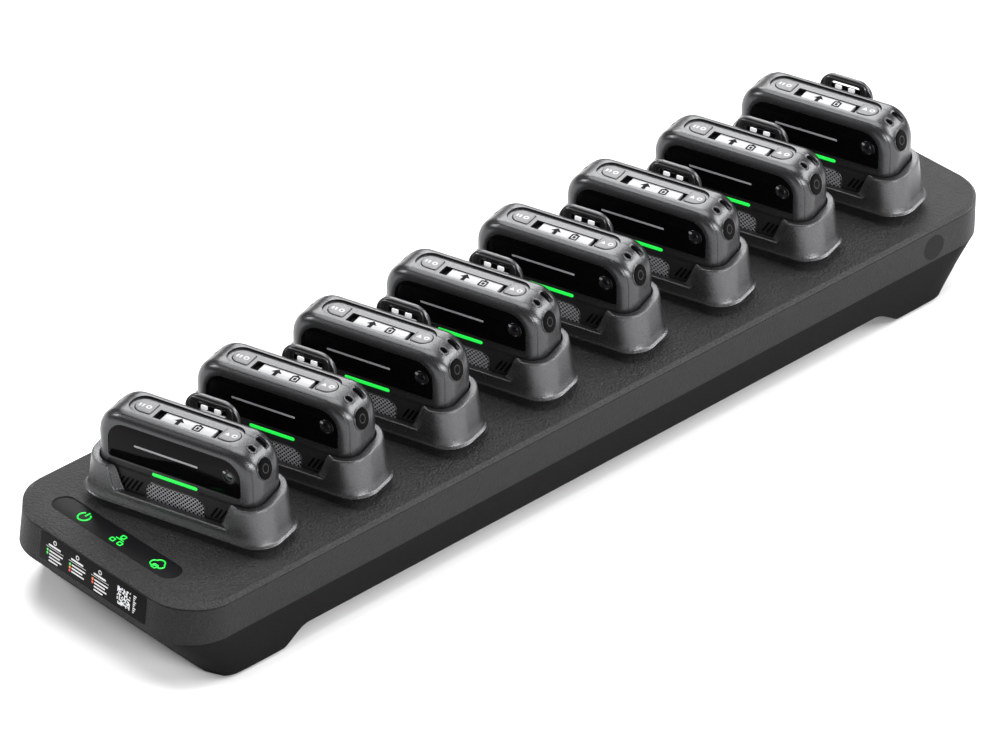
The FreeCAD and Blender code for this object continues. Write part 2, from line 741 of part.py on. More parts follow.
def draw_clip_plate(sketch):
    """Outline of the clip's plate with the slot through its upper end."""
    rounded(sketch, CLIP_LEFT, CLIP_RIGHT, c.clip_low, c.clip_high, 4.0, 8.0)
    rounded(sketch, CLIP_LEFT + 6, CLIP_RIGHT - 6, c.clip_high - 8.5, c.clip_high - 3.2, 2.0)


def make_joined_unit(bay):
    """A unit whose housings, window and clip are joined into one node."""
    name = f"radio_{bay + 1}_housing"
    body = unit_slab(name, FRONT, BACK)
    cut_panel_seat(body, PANEL_TOP)
    cut_key_wells(body)
    cut_key_holes(body)
    cut_contact_recess(body)
    pad(body, "XZ_Plane", CLIP_FRONT, CLIP_FRONT + c.clip_thickness, draw_clip_plate)
    pad(body, "XZ_Plane", BACK - 1, CLIP_FRONT + 0.5, box_outline(
        c.clip_side - 9, c.clip_side + 9, c.pin_height - 2, c.pin_height + 2))
    keep(stand_in_bay(body, bay, c.pocket_floor), name)


def radio_piece(body):
    """Set a piece of the first radio in its bay and mark it as a node."""
    return keep(stand_in_bay(body, 0, c.pocket_floor), body.Name)


def make_front_cover():
    """Front bezel with the window, light bar, grille, camera and slot openings."""
    body = unit_slab("radio_1_front_cover", FRONT, FRONT + c.front_seam)
    depth = (FRONT - 0.5, FRONT + c.front_seam)
    cut(body, "XZ_Plane", *depth, round_outline(
        -c.window_half, c.window_half, c.window_low, c.window_high, 1.5, 9.0))
    half_across, half_along = LIGHT_BAR_HALF
    cut(body, "XZ_Plane", *depth, round_outline(
        -half_across, half_across, c.bar_height - half_along, c.bar_height + half_along, 0.7))
    left, right, bottom, top = GRILLE
    cut(body, "XZ_Plane", *depth, round_outline(left, right, bottom, top, 5.0))
    for start, count in SLANT_SLOTS:
        for index in range(count):
            foot = start + SLANT_PITCH * index
            cut(body, "XZ_Plane", *depth, slanted_slot(foot))
    radio_piece(body)


def slanted_slot(foot):
    """Return a drawing function for one leaning slot below the window."""
    corners = [(foot, 29.5), (foot + 1.2, 29.5), (foot + 3.2, 33.5), (foot + 2.0, 33.5)]
    return lambda sketch: polygon(sketch, corners)


def make_middle_housing():
    """Middle ring of the case with the top recess, key wells and contact slots."""
    body = unit_slab("middle_blank", FRONT + c.front_seam, FRONT + c.rear_seam)
    wall = c.unit_wall
    cut(body, "XZ_Plane", FRONT, BACK, round_outline(
        wall - HALF_UNIT, HALF_UNIT - wall, wall, TOP - c.top_wall, 6.0, 10.0))
    cut_panel_seat(body, PANEL_SEAT)
    cut_key_wells(body)
    cut_contact_recess(body)
    for place in CONTACT_PLACES:
        cut(body, "XY_Plane", 1, c.unit_wall + 0.5, contact_outline(place))
    drilled = subtract("drilled_housing", body, mic_cylinder("mic_seat", MIC_RADIUS))
    housing = subtract("middle_housing", drilled, disc_cylinder("disc_seat"))
    keep(stand_in_bay(housing, 0, c.pocket_floor), "radio_1_middle_housing")


def on_corner(item, tilt, depth, half_length):
    """Set an object on the unit's rounded upper corner, its own Z along the normal."""
    lean = math.radians(tilt)
    reach = c.top_corner - CORNER_SINK
    away = HALF_UNIT - c.top_corner + reach * math.sin(lean) - half_length * math.cos(lean)
    height = TOP - c.top_corner + reach * math.cos(lean) + half_length * math.sin(lean)
    bind(item, "Placement.Base.x", away)
    bind(item, "Placement.Base.y", depth)
    bind(item, "Placement.Base.z", height)
    item.Placement.Rotation = Rotation(Vector(0, 1, 0), tilt)
    return item


def mic_cylinder(name, radius):
    """Short cylinder that stands on the unit's upper corner."""
    cylinder = doc.addObject("Part::Cylinder", name)
    bind(cylinder, "Radius", radius)
    bind(cylinder, "Height", CORNER_SINK + CORNER_RISE)
    return on_corner(cylinder, MIC_TILT, MIC_DEPTH, 0)


def disc_cylinder(name):
    """Flat disc that fills the side control's place on the upper corner."""
    cylinder = doc.addObject("Part::Cylinder", name)
    bind(cylinder, "Radius", DISC_RADIUS)
    bind(cylinder, "Height", CORNER_SINK + CORNER_RISE)
    return on_corner(cylinder, DISC_TILT, DISC_DEPTH, 0)


def sensor_box(name):
    """Flat block that fills the sensor's place on the upper corner."""
    block = doc.addObject("Part::Box", name)
    length, width = SENSOR_SIZE
    bind(block, "Length", length)
    bind(block, "Width", width)
    bind(block, "Height", CORNER_SINK)
    return on_corner(block, SENSOR_TILT, SENSOR_DEPTH, length / 2)


def make_corner_fittings():
    """Side disc, ported microphone ring and sensor window on the upper corner."""
    disc = doc.addObject("Part::Compound", "side_disc")
    disc.Links = [disc_cylinder("disc_blank")]
    keep(stand_in_bay(disc, 0, c.pocket_floor), "radio_1_side_disc")
    hoop = subtract("mic_ring", mic_cylinder("mic_outer", MIC_RADIUS),
                    mic_cylinder("mic_bore", MIC_RADIUS - MIC_RIM))
    keep(stand_in_bay(hoop, 0, c.pocket_floor), "radio_1_mic_ring")
    window = sensor_box("sensor_window")
    bay = doc.addObject("Part::Compound", "corner_sensor")
    bay.Links = [window]
    keep(stand_in_bay(bay, 0, c.pocket_floor), "radio_1_corner_sensor")


def make_rear_housing():
    """Rear shell with screw bosses and the clip's bracket seat."""
    body = unit_slab("rear_blank", FRONT + c.rear_seam, BACK)
    wall = c.unit_wall
    cut(body, "XZ_Plane", FRONT + c.rear_seam, BACK - wall, round_outline(
        wall - HALF_UNIT, HALF_UNIT - wall, wall, TOP - c.top_wall, 6.0, 10.0))
    pad(body, "XZ_Plane", FRONT + c.rear_seam, BACK - 1, ring_outline(BOSS_PLACES, 3))
    cut(body, "XZ_Plane", FRONT + c.rear_seam, BACK, ring_outline(BOSS_PLACES, 1.1))
    cut(body, "XZ_Plane", BACK - 1.4, BACK, ring_outline(BOSS_PLACES, 2.1))
    cut_panel_seat(body, PANEL_SEAT)
    cut_key_wells(body)
    cut_contact_recess(body)
    housing = subtract("rear_housing", body, sensor_box("sensor_seat"))
    keep(stand_in_bay(housing, 0, c.pocket_floor), "radio_1_rear_housing")


def make_front_fittings():
    """Window, light bar, grille and camera in the unit's front."""
    glass = new_body("radio_1_front_window")
    pad(glass, "XZ_Plane", FRONT + 0.1, FRONT + c.front_seam, round_outline(
        -c.window_half, c.window_half, c.window_low, c.window_high, 1.5, 9.0))
    cut(glass, "XZ_Plane", FRONT, FRONT + c.front_seam, ring_outline([CAMERA], 3.6))
    radio_piece(glass)
    half_across, half_along = LIGHT_BAR_HALF
    bar = new_body("radio_1_light_bar")
    pad(bar, "XZ_Plane", FRONT, FRONT + c.front_seam + 1, round_outline(
        -half_across, half_across, c.bar_height - half_along, c.bar_height + half_along, 0.7))
    radio_piece(bar)
    grille = new_body("radio_1_speaker_grille")
    left, right, bottom, top = GRILLE
    pad(grille, "XZ_Plane", FRONT + 0.6, FRONT + 1.4, round_outline(
        left, right, bottom, top, 5.0))
    holes = [(-12 + 3 * column, 23.4 + 2.5 * row) for column in range(9) for row in range(5)]
    cut(grille, "XZ_Plane", FRONT, FRONT + c.front_seam, ring_outline(holes, 0.7))
    radio_piece(grille)
    barrel = new_body("radio_1_camera_barrel")
    pad(barrel, "XZ_Plane", FRONT + 0.1, FRONT + 9, ring_outline([CAMERA], 3.6))
    cut(barrel, "XZ_Plane", FRONT, FRONT + 4, ring_outline([CAMERA], 2.7))
    radio_piece(barrel)
    lens = new_body("radio_1_camera_lens")
    pad(lens, "XZ_Plane", FRONT + 0.6, FRONT + 4, ring_outline([CAMERA], 2.7))
    radio_piece(lens)


def make_top_fittings():
    """Top panel and the small display in its window."""
    panel = new_body("radio_1_top_panel")
    left, right, front, back = TOP_PANEL
    pad(panel, "XY_Plane", PANEL_SEAT, PANEL_TOP, round_outline(left, right, front, back, 6.0))
    cut_key_holes(panel)
    left, right, front, back = DISPLAY
    cut(panel, "XY_Plane", PANEL_SEAT, PANEL_TOP, box_outline(left, right, front, back))
    radio_piece(panel)
    display = new_body("radio_1_display")
    pad(display, "XY_Plane", PANEL_SEAT, PANEL_TOP - 0.3, box_outline(left, right, front, back))
    radio_piece(display)


def make_inner_parts():
    """Battery, circuit board, speaker and charging contacts inside the unit."""
    battery = new_body("radio_1_battery")
    pad(battery, "XZ_Plane", 1.5, 9.0, round_outline(-28, 28, 5, 52, 1.5))
    radio_piece(battery)
    board = new_body("radio_1_circuit_board")
    pad(board, "XZ_Plane", -1.0, 0.2, round_outline(-36, 36, 4, 58, 3))
    radio_piece(board)
    speaker = new_body("radio_1_speaker")
    pad(speaker, "XZ_Plane", FRONT + c.front_seam, FRONT + 4, ring_outline([SPEAKER], SPEAKER_RADIUS))
    pad(speaker, "XZ_Plane", FRONT + 3.5, FRONT + 8, ring_outline([SPEAKER], MAGNET_RADIUS))
    radio_piece(speaker)
    contacts = []
    for place in CONTACT_PLACES:
        contact = new_body("charge_contact")
        pad(contact, "XY_Plane", *CONTACT_LEVELS, contact_outline(place))
        contacts.append(contact)
    group = compound("charge_contacts", contacts)
    keep(stand_in_bay(group, 0, c.pocket_floor), "radio_1_charge_contacts")


def make_unit_screws():
    """Four screws that close the unit from behind."""
    screws = []
    for place in BOSS_PLACES:
        screw = new_body("unit_screw")
        pad(screw, "XZ_Plane", BACK - 1.4, BACK - 0.1, ring_outline([place], 2.0))
        pad(screw, "XZ_Plane", FRONT + c.rear_seam + 0.5, BACK - 1, ring_outline([place], 1.0))
        screws.append(screw)
    group = compound("unit_screws", screws)
    keep(stand_in_bay(group, 0, c.pocket_floor), "radio_1_case_screws")


def make_clip():
    """Spring clip on the unit's back, its bracket and its pivot pin."""
    middle = c.clip_side
    plate = new_body("radio_1_rear_clip")
    pad(plate, "XZ_Plane", CLIP_FRONT, CLIP_FRONT + c.clip_thickness, draw_clip_plate)
    pad(plate, "YZ_Plane", middle - 6, middle + 6, ring_outline(
        [(PIN_DEPTH, c.pin_height)], c.knuckle))
    pad(plate, "YZ_Plane", middle - 6, middle + 6, box_outline(
        PIN_DEPTH, CLIP_FRONT + 0.5, c.pin_height - 1.5, c.pin_height + 1.5))
    cut(plate, "YZ_Plane", middle - 7, middle + 7, ring_outline(
        [(PIN_DEPTH, c.pin_height)], c.pin_radius + c.pin_clearance))
    radio_piece(plate)
    bracket = new_body("radio_1_clip_bracket")
    for side in (-1, 1):
        near = middle + side * 8.5 - 2
        pad(bracket, "YZ_Plane", near, near + 4, ring_outline(
            [(PIN_DEPTH, c.pin_height)], c.knuckle))
        pad(bracket, "YZ_Plane", near, near + 4, box_outline(
            BACK, PIN_DEPTH, c.pin_height - c.knuckle, c.pin_height + c.knuckle))
    cut(bracket, "YZ_Plane", middle - 12, middle + 12, ring_outline(
        [(PIN_DEPTH, c.pin_height)], c.pin_radius))
    radio_piece(bracket)
    pin = new_body("radio_1_clip_pin")
    pad(pin, "YZ_Plane", middle - 10.5, middle + 10.5, ring_outline(
        [(PIN_DEPTH, c.pin_height)], c.pin_radius))
    radio_piece(pin)


# ---------------------------------------------------------------- assembly and export

def build():
    """Make every node of the dock and of the eight units."""
    make_base_tray()
    make_side_band()
    make_top_cover()
    make_status_panel()
    make_socket("power_inlet", INLET, 12, 1.8, 3)
    make_socket("network_port", NETWORK, 15, 2.0, 2)
    make_electronics()
    make_case_screws()
    keep(compound("pocket_cups", [make_cup(bay) for bay in range(BAYS)]), "pocket_cups")
    make_front_cover()
    make_middle_housing()
    make_rear_housing()
    make_front_fittings()
    make_top_fittings()
    make_corner_fittings()
    make_inner_parts()
    make_unit_screws()
    make_clip()
    for bay in range(BAYS):
        for name in KEYS:
            make_key(bay, name)
        if bay > 0:
            make_joined_unit(bay)


def check_document():
    """Stop if any object failed or any node has no sound shape."""
    for item in doc.Objects:
        if "Invalid" in item.State or "Error" in item.State:
            raise RuntimeError(f"{item.Name} ({item.Label}) failed: {item.State}")
    for name, item in nodes:
        if item.Shape.isNull() or not item.Shape.isValid() or not item.Shape.Solids:
            raise RuntimeError(f"{name} has no sound shape")


def export_nodes():
    """Write one STEP file for each node."""
    os.makedirs("parts", exist_ok=True)
    for name, item in nodes:
        item.Shape.exportStep(f"parts/{name}.step")
        box = item.Shape.BoundBox
        print(f"{name}: {len(item.Shape.Solids)} solids, {item.Shape.Volume / 1000:.2f} cm3, "
              f"x {box.XMin:.1f}..{box.XMax:.1f}, y {box.YMin:.1f}..{box.YMax:.1f}, "
              f"z {box.ZMin:.1f}..{box.ZMax:.1f}")
    print(f"{len(nodes)} nodes")


build()
doc.recompute()
check_document()
export_nodes()
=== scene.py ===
"""Looks of a long charging dock that holds eight body-worn radio units.

The dock's shell, its eight pockets and the units' housings, windows, keys, displays, clips and
fittings are worked out here as surfaces around the fixed frame of CAD bodies.  Lengths inside the
classes are in millimetres; a mesh is written in metres, in the frame's own axes.
"""

import json
import logging
import math
from dataclasses import dataclass, field
from enum import Enum
from itertools import product
from typing import Any, Sequence

import bmesh
import bpy
import numpy as np
from mathutils import Matrix, Vector

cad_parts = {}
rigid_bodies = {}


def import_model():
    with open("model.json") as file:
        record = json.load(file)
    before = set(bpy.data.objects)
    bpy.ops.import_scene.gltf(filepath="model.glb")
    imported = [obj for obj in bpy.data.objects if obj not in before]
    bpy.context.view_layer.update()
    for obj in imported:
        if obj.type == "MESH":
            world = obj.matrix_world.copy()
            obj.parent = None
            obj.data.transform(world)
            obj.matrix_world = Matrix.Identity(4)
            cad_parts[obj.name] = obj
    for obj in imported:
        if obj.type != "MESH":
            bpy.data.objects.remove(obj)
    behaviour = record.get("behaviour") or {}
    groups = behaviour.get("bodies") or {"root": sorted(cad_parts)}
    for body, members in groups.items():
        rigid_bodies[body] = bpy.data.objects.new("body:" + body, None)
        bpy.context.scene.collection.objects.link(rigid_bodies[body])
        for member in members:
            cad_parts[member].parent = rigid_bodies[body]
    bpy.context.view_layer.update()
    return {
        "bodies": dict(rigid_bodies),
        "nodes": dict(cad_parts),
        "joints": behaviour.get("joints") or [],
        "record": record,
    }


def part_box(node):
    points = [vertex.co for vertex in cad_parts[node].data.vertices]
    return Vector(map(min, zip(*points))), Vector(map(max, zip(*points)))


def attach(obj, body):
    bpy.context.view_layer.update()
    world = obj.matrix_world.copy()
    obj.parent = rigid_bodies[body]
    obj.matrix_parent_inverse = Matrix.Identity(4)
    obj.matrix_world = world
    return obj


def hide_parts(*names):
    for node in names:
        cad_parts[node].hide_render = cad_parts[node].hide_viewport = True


logging.basicConfig(level=logging.INFO, format="%(message)s")
LOG = logging.getLogger("dock")

Array = np.ndarray
MM = 0.001
TAU = 2.0 * math.pi


# ------------------------------------------------------------------ shader expressions


class Wire:
    """A shader output that can be used in a Python expression."""

    def __init__(self, shader: "Shader", source: bpy.types.NodeSocket) -> None:
        """Keep the shader and the socket.

        Args:
            shader: the shader whose tree takes the new nodes.
            source: an output socket.
        """
        self.shader = shader
        self.source = source

    def _maths(self, operation: str, first: Any, second: Any) -> "Wire":
        """Add one Math node.

        Args:
            operation: the node's operation.
            first: its first value.
            second: its second value.

        Returns:
            The node's result.
        """
        return self.shader.node(
            "ShaderNodeMath", {"operation": operation}, {0: first, 1: second})

    def __add__(self, other: Any) -> "Wire":
        """Add."""
        return self._maths("ADD", self, other)

    __radd__ = __add__

    def __sub__(self, other: Any) -> "Wire":
        """Subtract."""
        return self._maths("SUBTRACT", self, other)

    def __rsub__(self, other: Any) -> "Wire":
        """Subtract from a number."""
        return self._maths("SUBTRACT", other, self)

    def __mul__(self, other: Any) -> "Wire":
        """Multiply."""
        return self._maths("MULTIPLY", self, other)

    __rmul__ = __mul__

    def clamp(self) -> "Wire":
        """Keep between 0 and 1."""
        return self._maths("MINIMUM", self._maths("MAXIMUM", self, 0.0), 1.0)


class Shader:
    """A material's node tree, with one method that makes any node."""

    def __init__(self, name: str) -> None:
        """Start a material.

        Args:
            name: the material's name.
        """
        self.material = bpy.data.materials.new(name)
        self.material.use_nodes = True
        self.tree = self.material.node_tree
        self.tree.nodes.clear()
        self.output = self.tree.nodes.new("ShaderNodeOutputMaterial")
        self.place = self.node("ShaderNodeTexCoord", {}, {}, "Object")

    def node(self, kind: str, settings: dict[str, Any], values: dict[Any, Any],
             result: Any = 0) -> Wire:
        """Add a node of any type.

        Args:
            kind: the node's type.
            settings: the node's own properties, set first.
            values: numbers, tuples or Wires for its input sockets, by name or place.
            result: the name or place of the output that is wanted.

        Returns:
            The wanted output.
        """
        made = self.tree.nodes.new(kind)
        for key, value in settings.items():
            setattr(made, key, value)
        for key, value in values.items():
            if isinstance(value, Wire):
                self.tree.links.new(value.source, made.inputs[key])
            else:
                made.inputs[key].default_value = value
        return Wire(self, made.outputs[result])

    def noise(self, scale: float, detail: float = 2.0, roughness: float = 0.5) -> Wire:
        """Give a noise on the object's own coordinates.

        Args:
            scale: features to the metre.
            detail: number of octaves.
            roughness: strength of the finer octaves.

        Returns:
            The noise's value.
        """
        return self.node("ShaderNodeTexNoise", {},
                         {"Vector": self.place, "Scale": scale, "Detail": detail,
                          "Roughness": roughness}, "Fac")

    def blend(self, amount: Wire, first: Sequence[float], second: Sequence[float]) -> Wire:
        """Mix two colours.

        Args:
            amount: the share of the second.
            first: a linear colour.
            second: another.

        Returns:
            The mixed colour.
        """
        factor, first_colour, second_colour, result = 0, 6, 7, 2
        return self.node("ShaderNodeMix", {"data_type": "RGBA"},
                         {factor: amount, first_colour: (*first, 1.0),
                          second_colour: (*second, 1.0)}, result)

    def bump(self, height: Wire, distance: float) -> Wire:
        """Turn a height into a normal.

        Args:
            height: the height, about 0 to 1.
            distance: the height of 1, in metres.

        Returns:
            The normal.
        """
        return self.node("ShaderNodeBump", {},
                         {"Height": height, "Distance": distance, "Strength": 1.0}, "Normal")

    def finish(self, values: dict[str, Any]) -> bpy.types.Material:
        """Close the tree with a Principled shader.

        Args:
            values: numbers, tuples or Wires for its sockets, by name.

        Returns:
            The finished material.
        """
        surface = self.node("ShaderNodeBsdfPrincipled", {}, values)
        self.tree.links.new(surface.source, self.output.inputs["Surface"])
        return self.material


# ------------------------------------------------------------------ finishes


@dataclass(frozen=True)
class Moulded:
    """A moulded plastic with a fine grain, slight mottling and a satin or matt face.

    The grain is in features to the metre and its depth in metres; mottle is the share by which
    the colour varies, and unevenness the amount by which the roughness does.
    """

    name: str
    slot: str
    colour: tuple[float, float, float]
    roughness: float = 0.5
    grain: float = 1800.0
    depth: float = 0.00004
    mottle: float = 0.12
    metal: float = 0.0
    gloss: float = 0.5
    unevenness: float = 0.09

    def material(self) -> bpy.types.Material:
        """Build the material."""
        shader = Shader(self.name)
        fine = shader.noise(self.grain, 3.0, 0.6)
        cloud = shader.noise(45.0, 3.0)
        dark = tuple(value * (1.0 - self.mottle) for value in self.colour)
        light = tuple(value * (1.0 + self.mottle) for value in self.colour)
        sharp = ((fine - 0.5) * 3.0 + 0.5).clamp()
        tone = (sharp * 0.8 + cloud * 0.2).clamp()
        return shader.finish({
            "Base Color": shader.blend(tone, dark, light),
            "Roughness": ((cloud + sharp - 1.0) * self.unevenness + self.roughness).clamp(),
            "Metallic": self.metal,
            "Specular IOR Level": self.gloss,
            "Normal": shader.bump(fine, self.depth),
        })


@dataclass(frozen=True)
class Glossy:
    """A hard black or dark face, coated or not, with the faintest waviness and dust."""

    name: str
    slot: str
    colour: tuple[float, float, float]
    roughness: float = 0.08
    coat: float = 0.6
    gloss: float = 0.5

    def material(self) -> bpy.types.Material:
        """Build the material."""
        shader = Shader(self.name)
        dust = shader.noise(900.0, 4.0, 0.7)
        wave = shader.noise(30.0, 1.0)
        lighter = tuple(value * 1.6 + 0.0004 for value in self.colour)
        return shader.finish({
            "Base Color": shader.blend(dust, self.colour, lighter),
            "Roughness": (dust * 0.06 + (self.roughness - 0.02)).clamp(),
            "Specular IOR Level": self.gloss,
            "Coat Weight": self.coat,
            "Coat Roughness": 0.03,
            "Normal": shader.bump(wave, 0.00001),
        })


@dataclass(frozen=True)
class Lit:
    """A glowing plastic: a light guide, a sign or a small display; on printed marks and the clip's
    squares the glow is painted light.
    """

    name: str
    slot: str
    colour: tuple[float, float, float]
    strength: float = 2.0

    def material(self) -> bpy.types.Material:
        """Build the material."""
        shader = Shader(self.name)
        cloud = shader.noise(260.0, 2.0)
        dim = tuple(value * 0.9 for value in self.colour)
        glow = shader.blend(cloud, dim, self.colour)
        return shader.finish({
            "Base Color": glow,
            "Roughness": (cloud * 0.1 + 0.25).clamp(),
            "Emission Color": glow,
            "Emission Strength": self.strength,
        })


@dataclass(frozen=True)
class Metallic:
    """A bare or painted metal with a little wear."""

    name: str
    slot: str
    colour: tuple[float, float, float]
    roughness: float = 0.3
    metal: float = 1.0

    def material(self) -> bpy.types.Material:
        """Build the material."""
        shader = Shader(self.name)
        wear = shader.noise(700.0, 4.0, 0.65)
        dull = tuple(value * 0.7 for value in self.colour)
        return shader.finish({
            "Base Color": shader.blend(wear, dull, self.colour),
            "Roughness": (wear * 0.2 + (self.roughness - 0.1)).clamp(),
            "Metallic": self.metal,
            "Normal": shader.bump(wear, 0.00001),
        })


COVER = Moulded("dock_cover_grain", "cover_plastic", (0.0170, 0.0172, 0.0178), 0.48, 900.0,
                0.00120, 0.55, gloss=0.34)
BAND = Moulded("dock_band_grain", "band_plastic", (0.0155, 0.0157, 0.0163), 0.50, 1200.0,
               0.00055, 0.45, gloss=0.14)
BASE = Moulded("dock_base_matt", "base_plastic", (0.0048, 0.0048, 0.0050), 0.62, 1300.0, 0.00030,
               0.25, gloss=0.07)
CUP = Moulded("pocket_satin", "cup_plastic", (0.092, 0.093, 0.095), 0.28, 2300.0, 0.00012, 0.24,
              0.85, 0.5, 0.02)
SHELL = Moulded("unit_satin", "unit_plastic", (0.058, 0.059, 0.0605), 0.28, 2800.0, 0.00004,
                0.12, 0.80, 0.5, 0.02)
PANEL = Moulded("unit_front_matt", "unit_plastic", (0.014, 0.014, 0.0145), 0.42, 2200.0, 0.00010,
                gloss=0.2)
KEY = Moulded("key_satin", "key_plastic", (0.085, 0.086, 0.088), 0.36, 2400.0, 0.00006, 0.12, 0.5)
CLIP = Moulded("clip_satin", "clip_plastic", (0.070, 0.070, 0.072), 0.30, 2600.0, 0.00005, 0.10,
               0.75, 0.5, 0.02)
BLACK = Moulded("plain_black", "black_plastic", (0.003, 0.003, 0.0033), 0.6, 2000.0, 0.00004,
                gloss=0.05)
RUBBER = Moulded("foot_rubber_matt", "foot_rubber", (0.012, 0.012, 0.012), 0.8, 1200.0, 0.0001)
BOARD = Moulded("board_green", "circuit_board", (0.012, 0.09, 0.035), 0.45, 900.0, 0.00006)
CELL = Moulded("cell_wrap", "battery", (0.05, 0.052, 0.056), 0.4, 1200.0, 0.00003)
WINDOW = Glossy("window_gloss", "window_glass", (0.0010, 0.0010, 0.0012), 0.06, 0.0, 0.06)
STATUS = Glossy("status_gloss", "gloss_panel", (0.0050, 0.0050, 0.0055), 0.42, 0.0, 0.06)
DISC = Glossy("disc_gloss", "gloss_panel", (0.0008, 0.0008, 0.0009), 0.30, 0.0, 0.02)
LENS = Glossy("lens_gloss", "lens_glass", (0.002, 0.002, 0.004), 0.03, 1.0)
LABEL = Glossy("label_gloss", "label", (0.002, 0.002, 0.002), 0.35, 0.0, 0.05)
BADGE = Glossy("badge_gloss", "badge", (0.003, 0.003, 0.0035), 0.30, 0.0, 0.08)
GREEN = Lit("green_lamp", "green_light", (0.012, 0.62, 0.055), 1.05)
# The label's printed marks below glow faintly: painted light on print.
AMBER = Lit("amber_mark", "label", (0.80, 0.22, 0.02), 0.35)
RED = Lit("red_mark", "label", (0.70, 0.03, 0.02), 0.35)
LEAF = Lit("green_mark", "label", (0.03, 0.60, 0.06), 0.35)
WHITE = Lit("white_mark", "label", (0.62, 0.63, 0.64), 0.15)
INK = Moulded("window_mark_grey", "window_glass", (0.30, 0.30, 0.31), 0.4, 2000.0, 0.00001)
PAPER = Lit("display_white", "display", (0.25, 0.255, 0.26), 0.05)
# Glowing white squares on the clip: painted glints, not lamps.
GLINT = Lit("clip_painted_glint_white", "display", (0.80, 0.80, 0.82), 0.5)
# A light grey dome by the camera lens: a painted highlight, not a lamp.
PAINTED_LENS_GLINT = Glossy("camera_painted_glint_grey", "lens_glass", (0.16, 0.16, 0.17), 0.25, 0.2)
STEEL = Metallic("steel_drawn", "steel", (0.55, 0.55, 0.57), 0.3)
GOLD = Metallic("contact_gold", "contact_metal", (0.85, 0.62, 0.25), 0.25)
WEAVE = Metallic("grille_dark", "grille", (0.42, 0.42, 0.43), 0.42, 0.55)
STEEL_DARK = Metallic("camera_ring", "lens_glass", (0.009, 0.009, 0.010), 0.30, 0.7)
# The key signs are print that glows faintly: painted light.
KEY_SIGN = Lit("key_sign_white", "key_plastic", (0.28, 0.285, 0.29), 0.05)

Finish = Moulded | Glossy | Lit | Metallic
MATERIALS: dict[str, bpy.types.Material] = {}


def material_of(finish: Finish) -> bpy.types.Material:
    """Give a finish's material, built once."""
    if finish.name not in MATERIALS:
        MATERIALS[finish.name] = finish.material()
    return MATERIALS[finish.name]


# ------------------------------------------------------------------ outlines and skins


@dataclass
class Outline:
    """A closed plane outline, counter-clockwise, with its outward normals."""

    points: Array
    normals: Array

    def inset(self, amount: Any) -> Array:
        """Move every point inwards along its normal by an amount."""
        return self.points - self.normals * np.asarray(amount, float).reshape(-1, 1)

    def even(self, count: int) -> "Outline":
        """Give the same outline with points spread evenly along its length.

        Args:
            count: the number of points.

        Returns:
            The new outline.
        """
        loop = np.vstack([self.points, self.points[:1]])
        turned = np.vstack([self.normals, self.normals[:1]])
        steps = np.r_[0.0, np.cumsum(np.linalg.norm(np.diff(loop, axis=0), axis=1))]
        wanted = np.linspace(0.0, steps[-1], count, endpoint=False)
        points = np.stack([np.interp(wanted, steps, loop[:, axis]) for axis in (0, 1)], 1)
        normals = np.stack([np.interp(wanted, steps, turned[:, axis]) for axis in (0, 1)], 1)
        return Outline(points, normals / np.linalg.norm(normals, axis=1, keepdims=True))

    def dense(self, step: float) -> "Outline":
        """Divide long straight runs into pieces no longer than a step.

        Args:
            step: the longest piece.

        Returns:
            The new outline.
        """
        loop = np.vstack([self.points, self.points[:1]])
        turned = np.vstack([self.normals, self.normals[:1]])
        runs = np.linalg.norm(np.diff(loop, axis=0), axis=1)
        parts = np.maximum(1, np.ceil(runs / step)).astype(int)
        index = np.repeat(np.arange(len(runs)), parts)
        first = np.repeat(np.cumsum(parts) - parts, parts)
        share = ((np.arange(len(index)) - first) / parts[index])[:, None]
        points = loop[index] * (1 - share) + loop[index + 1] * share
        normals = turned[index] * (1 - share) + turned[index + 1] * share
        return Outline(points, normals / np.linalg.norm(normals, axis=1, keepdims=True))


def rounded(corners: Sequence[tuple[float, float, float]], steps: int = 8) -> Outline:
    """Round a polygon's corners with tangent arcs.

    Each arc starts at the corner less radius * tan(half the turn) along the incoming side; its
    points are the arc's centre plus the radius along the normal, as the heading turns evenly.

    Args:
        corners: x, y and radius of each corner, counter-clockwise.
        steps: pieces in each arc.

    Returns:
        The outline.
    """
    places = np.array([corner[:2] for corner in corners], float)
    points = []
    normals = []
    for index, (_, _, radius) in enumerate(corners):
        here = places[index]
        into = here - places[index - 1]
        out = places[(index + 1) % len(corners)] - here
        into = into / np.linalg.norm(into)
        out = out / np.linalg.norm(out)
        turn = math.atan2(into[0] * out[1] - into[1] * out[0], float(into @ out))
        side = math.copysign(1.0, turn)
        left = np.array([-into[1], into[0]])
        start = here - into * radius * math.tan(abs(turn) / 2)
        centre = start + left * radius * side
        angle = math.atan2(into[1], into[0]) + turn * np.linspace(0, 1, steps + 1)
        outward = np.stack([np.sin(angle), -np.cos(angle)], 1)
        points.append(centre + outward * radius * side)
        normals.append(outward)
    return Outline(np.vstack(points), np.vstack(normals))


def box_outline(left: float, right: float, low: float, high: float, radius: float,
                top_radius: float | None = None, steps: int = 8) -> Outline:
    """Give a rounded rectangle.

    Args:
        left: lowest x.
        right: highest x.
        low: lowest y.
        high: highest y.
        radius: corner radius.
        top_radius: radius of the two upper corners, where it differs.
        steps: pieces in each corner.

    Returns:
        The outline.
    """
    upper = radius if top_radius is None else top_radius
    return rounded([(left, low, radius), (right, low, radius), (right, high, upper),
                    (left, high, upper)], steps)


def grown(box: tuple[float, float, float, float],
          amount: float) -> tuple[float, float, float, float]:
    """Widen a box of left, right, low and high by an amount on every side."""
    left, right, low, high = box
    return left - amount, right + amount, low - amount, high + amount


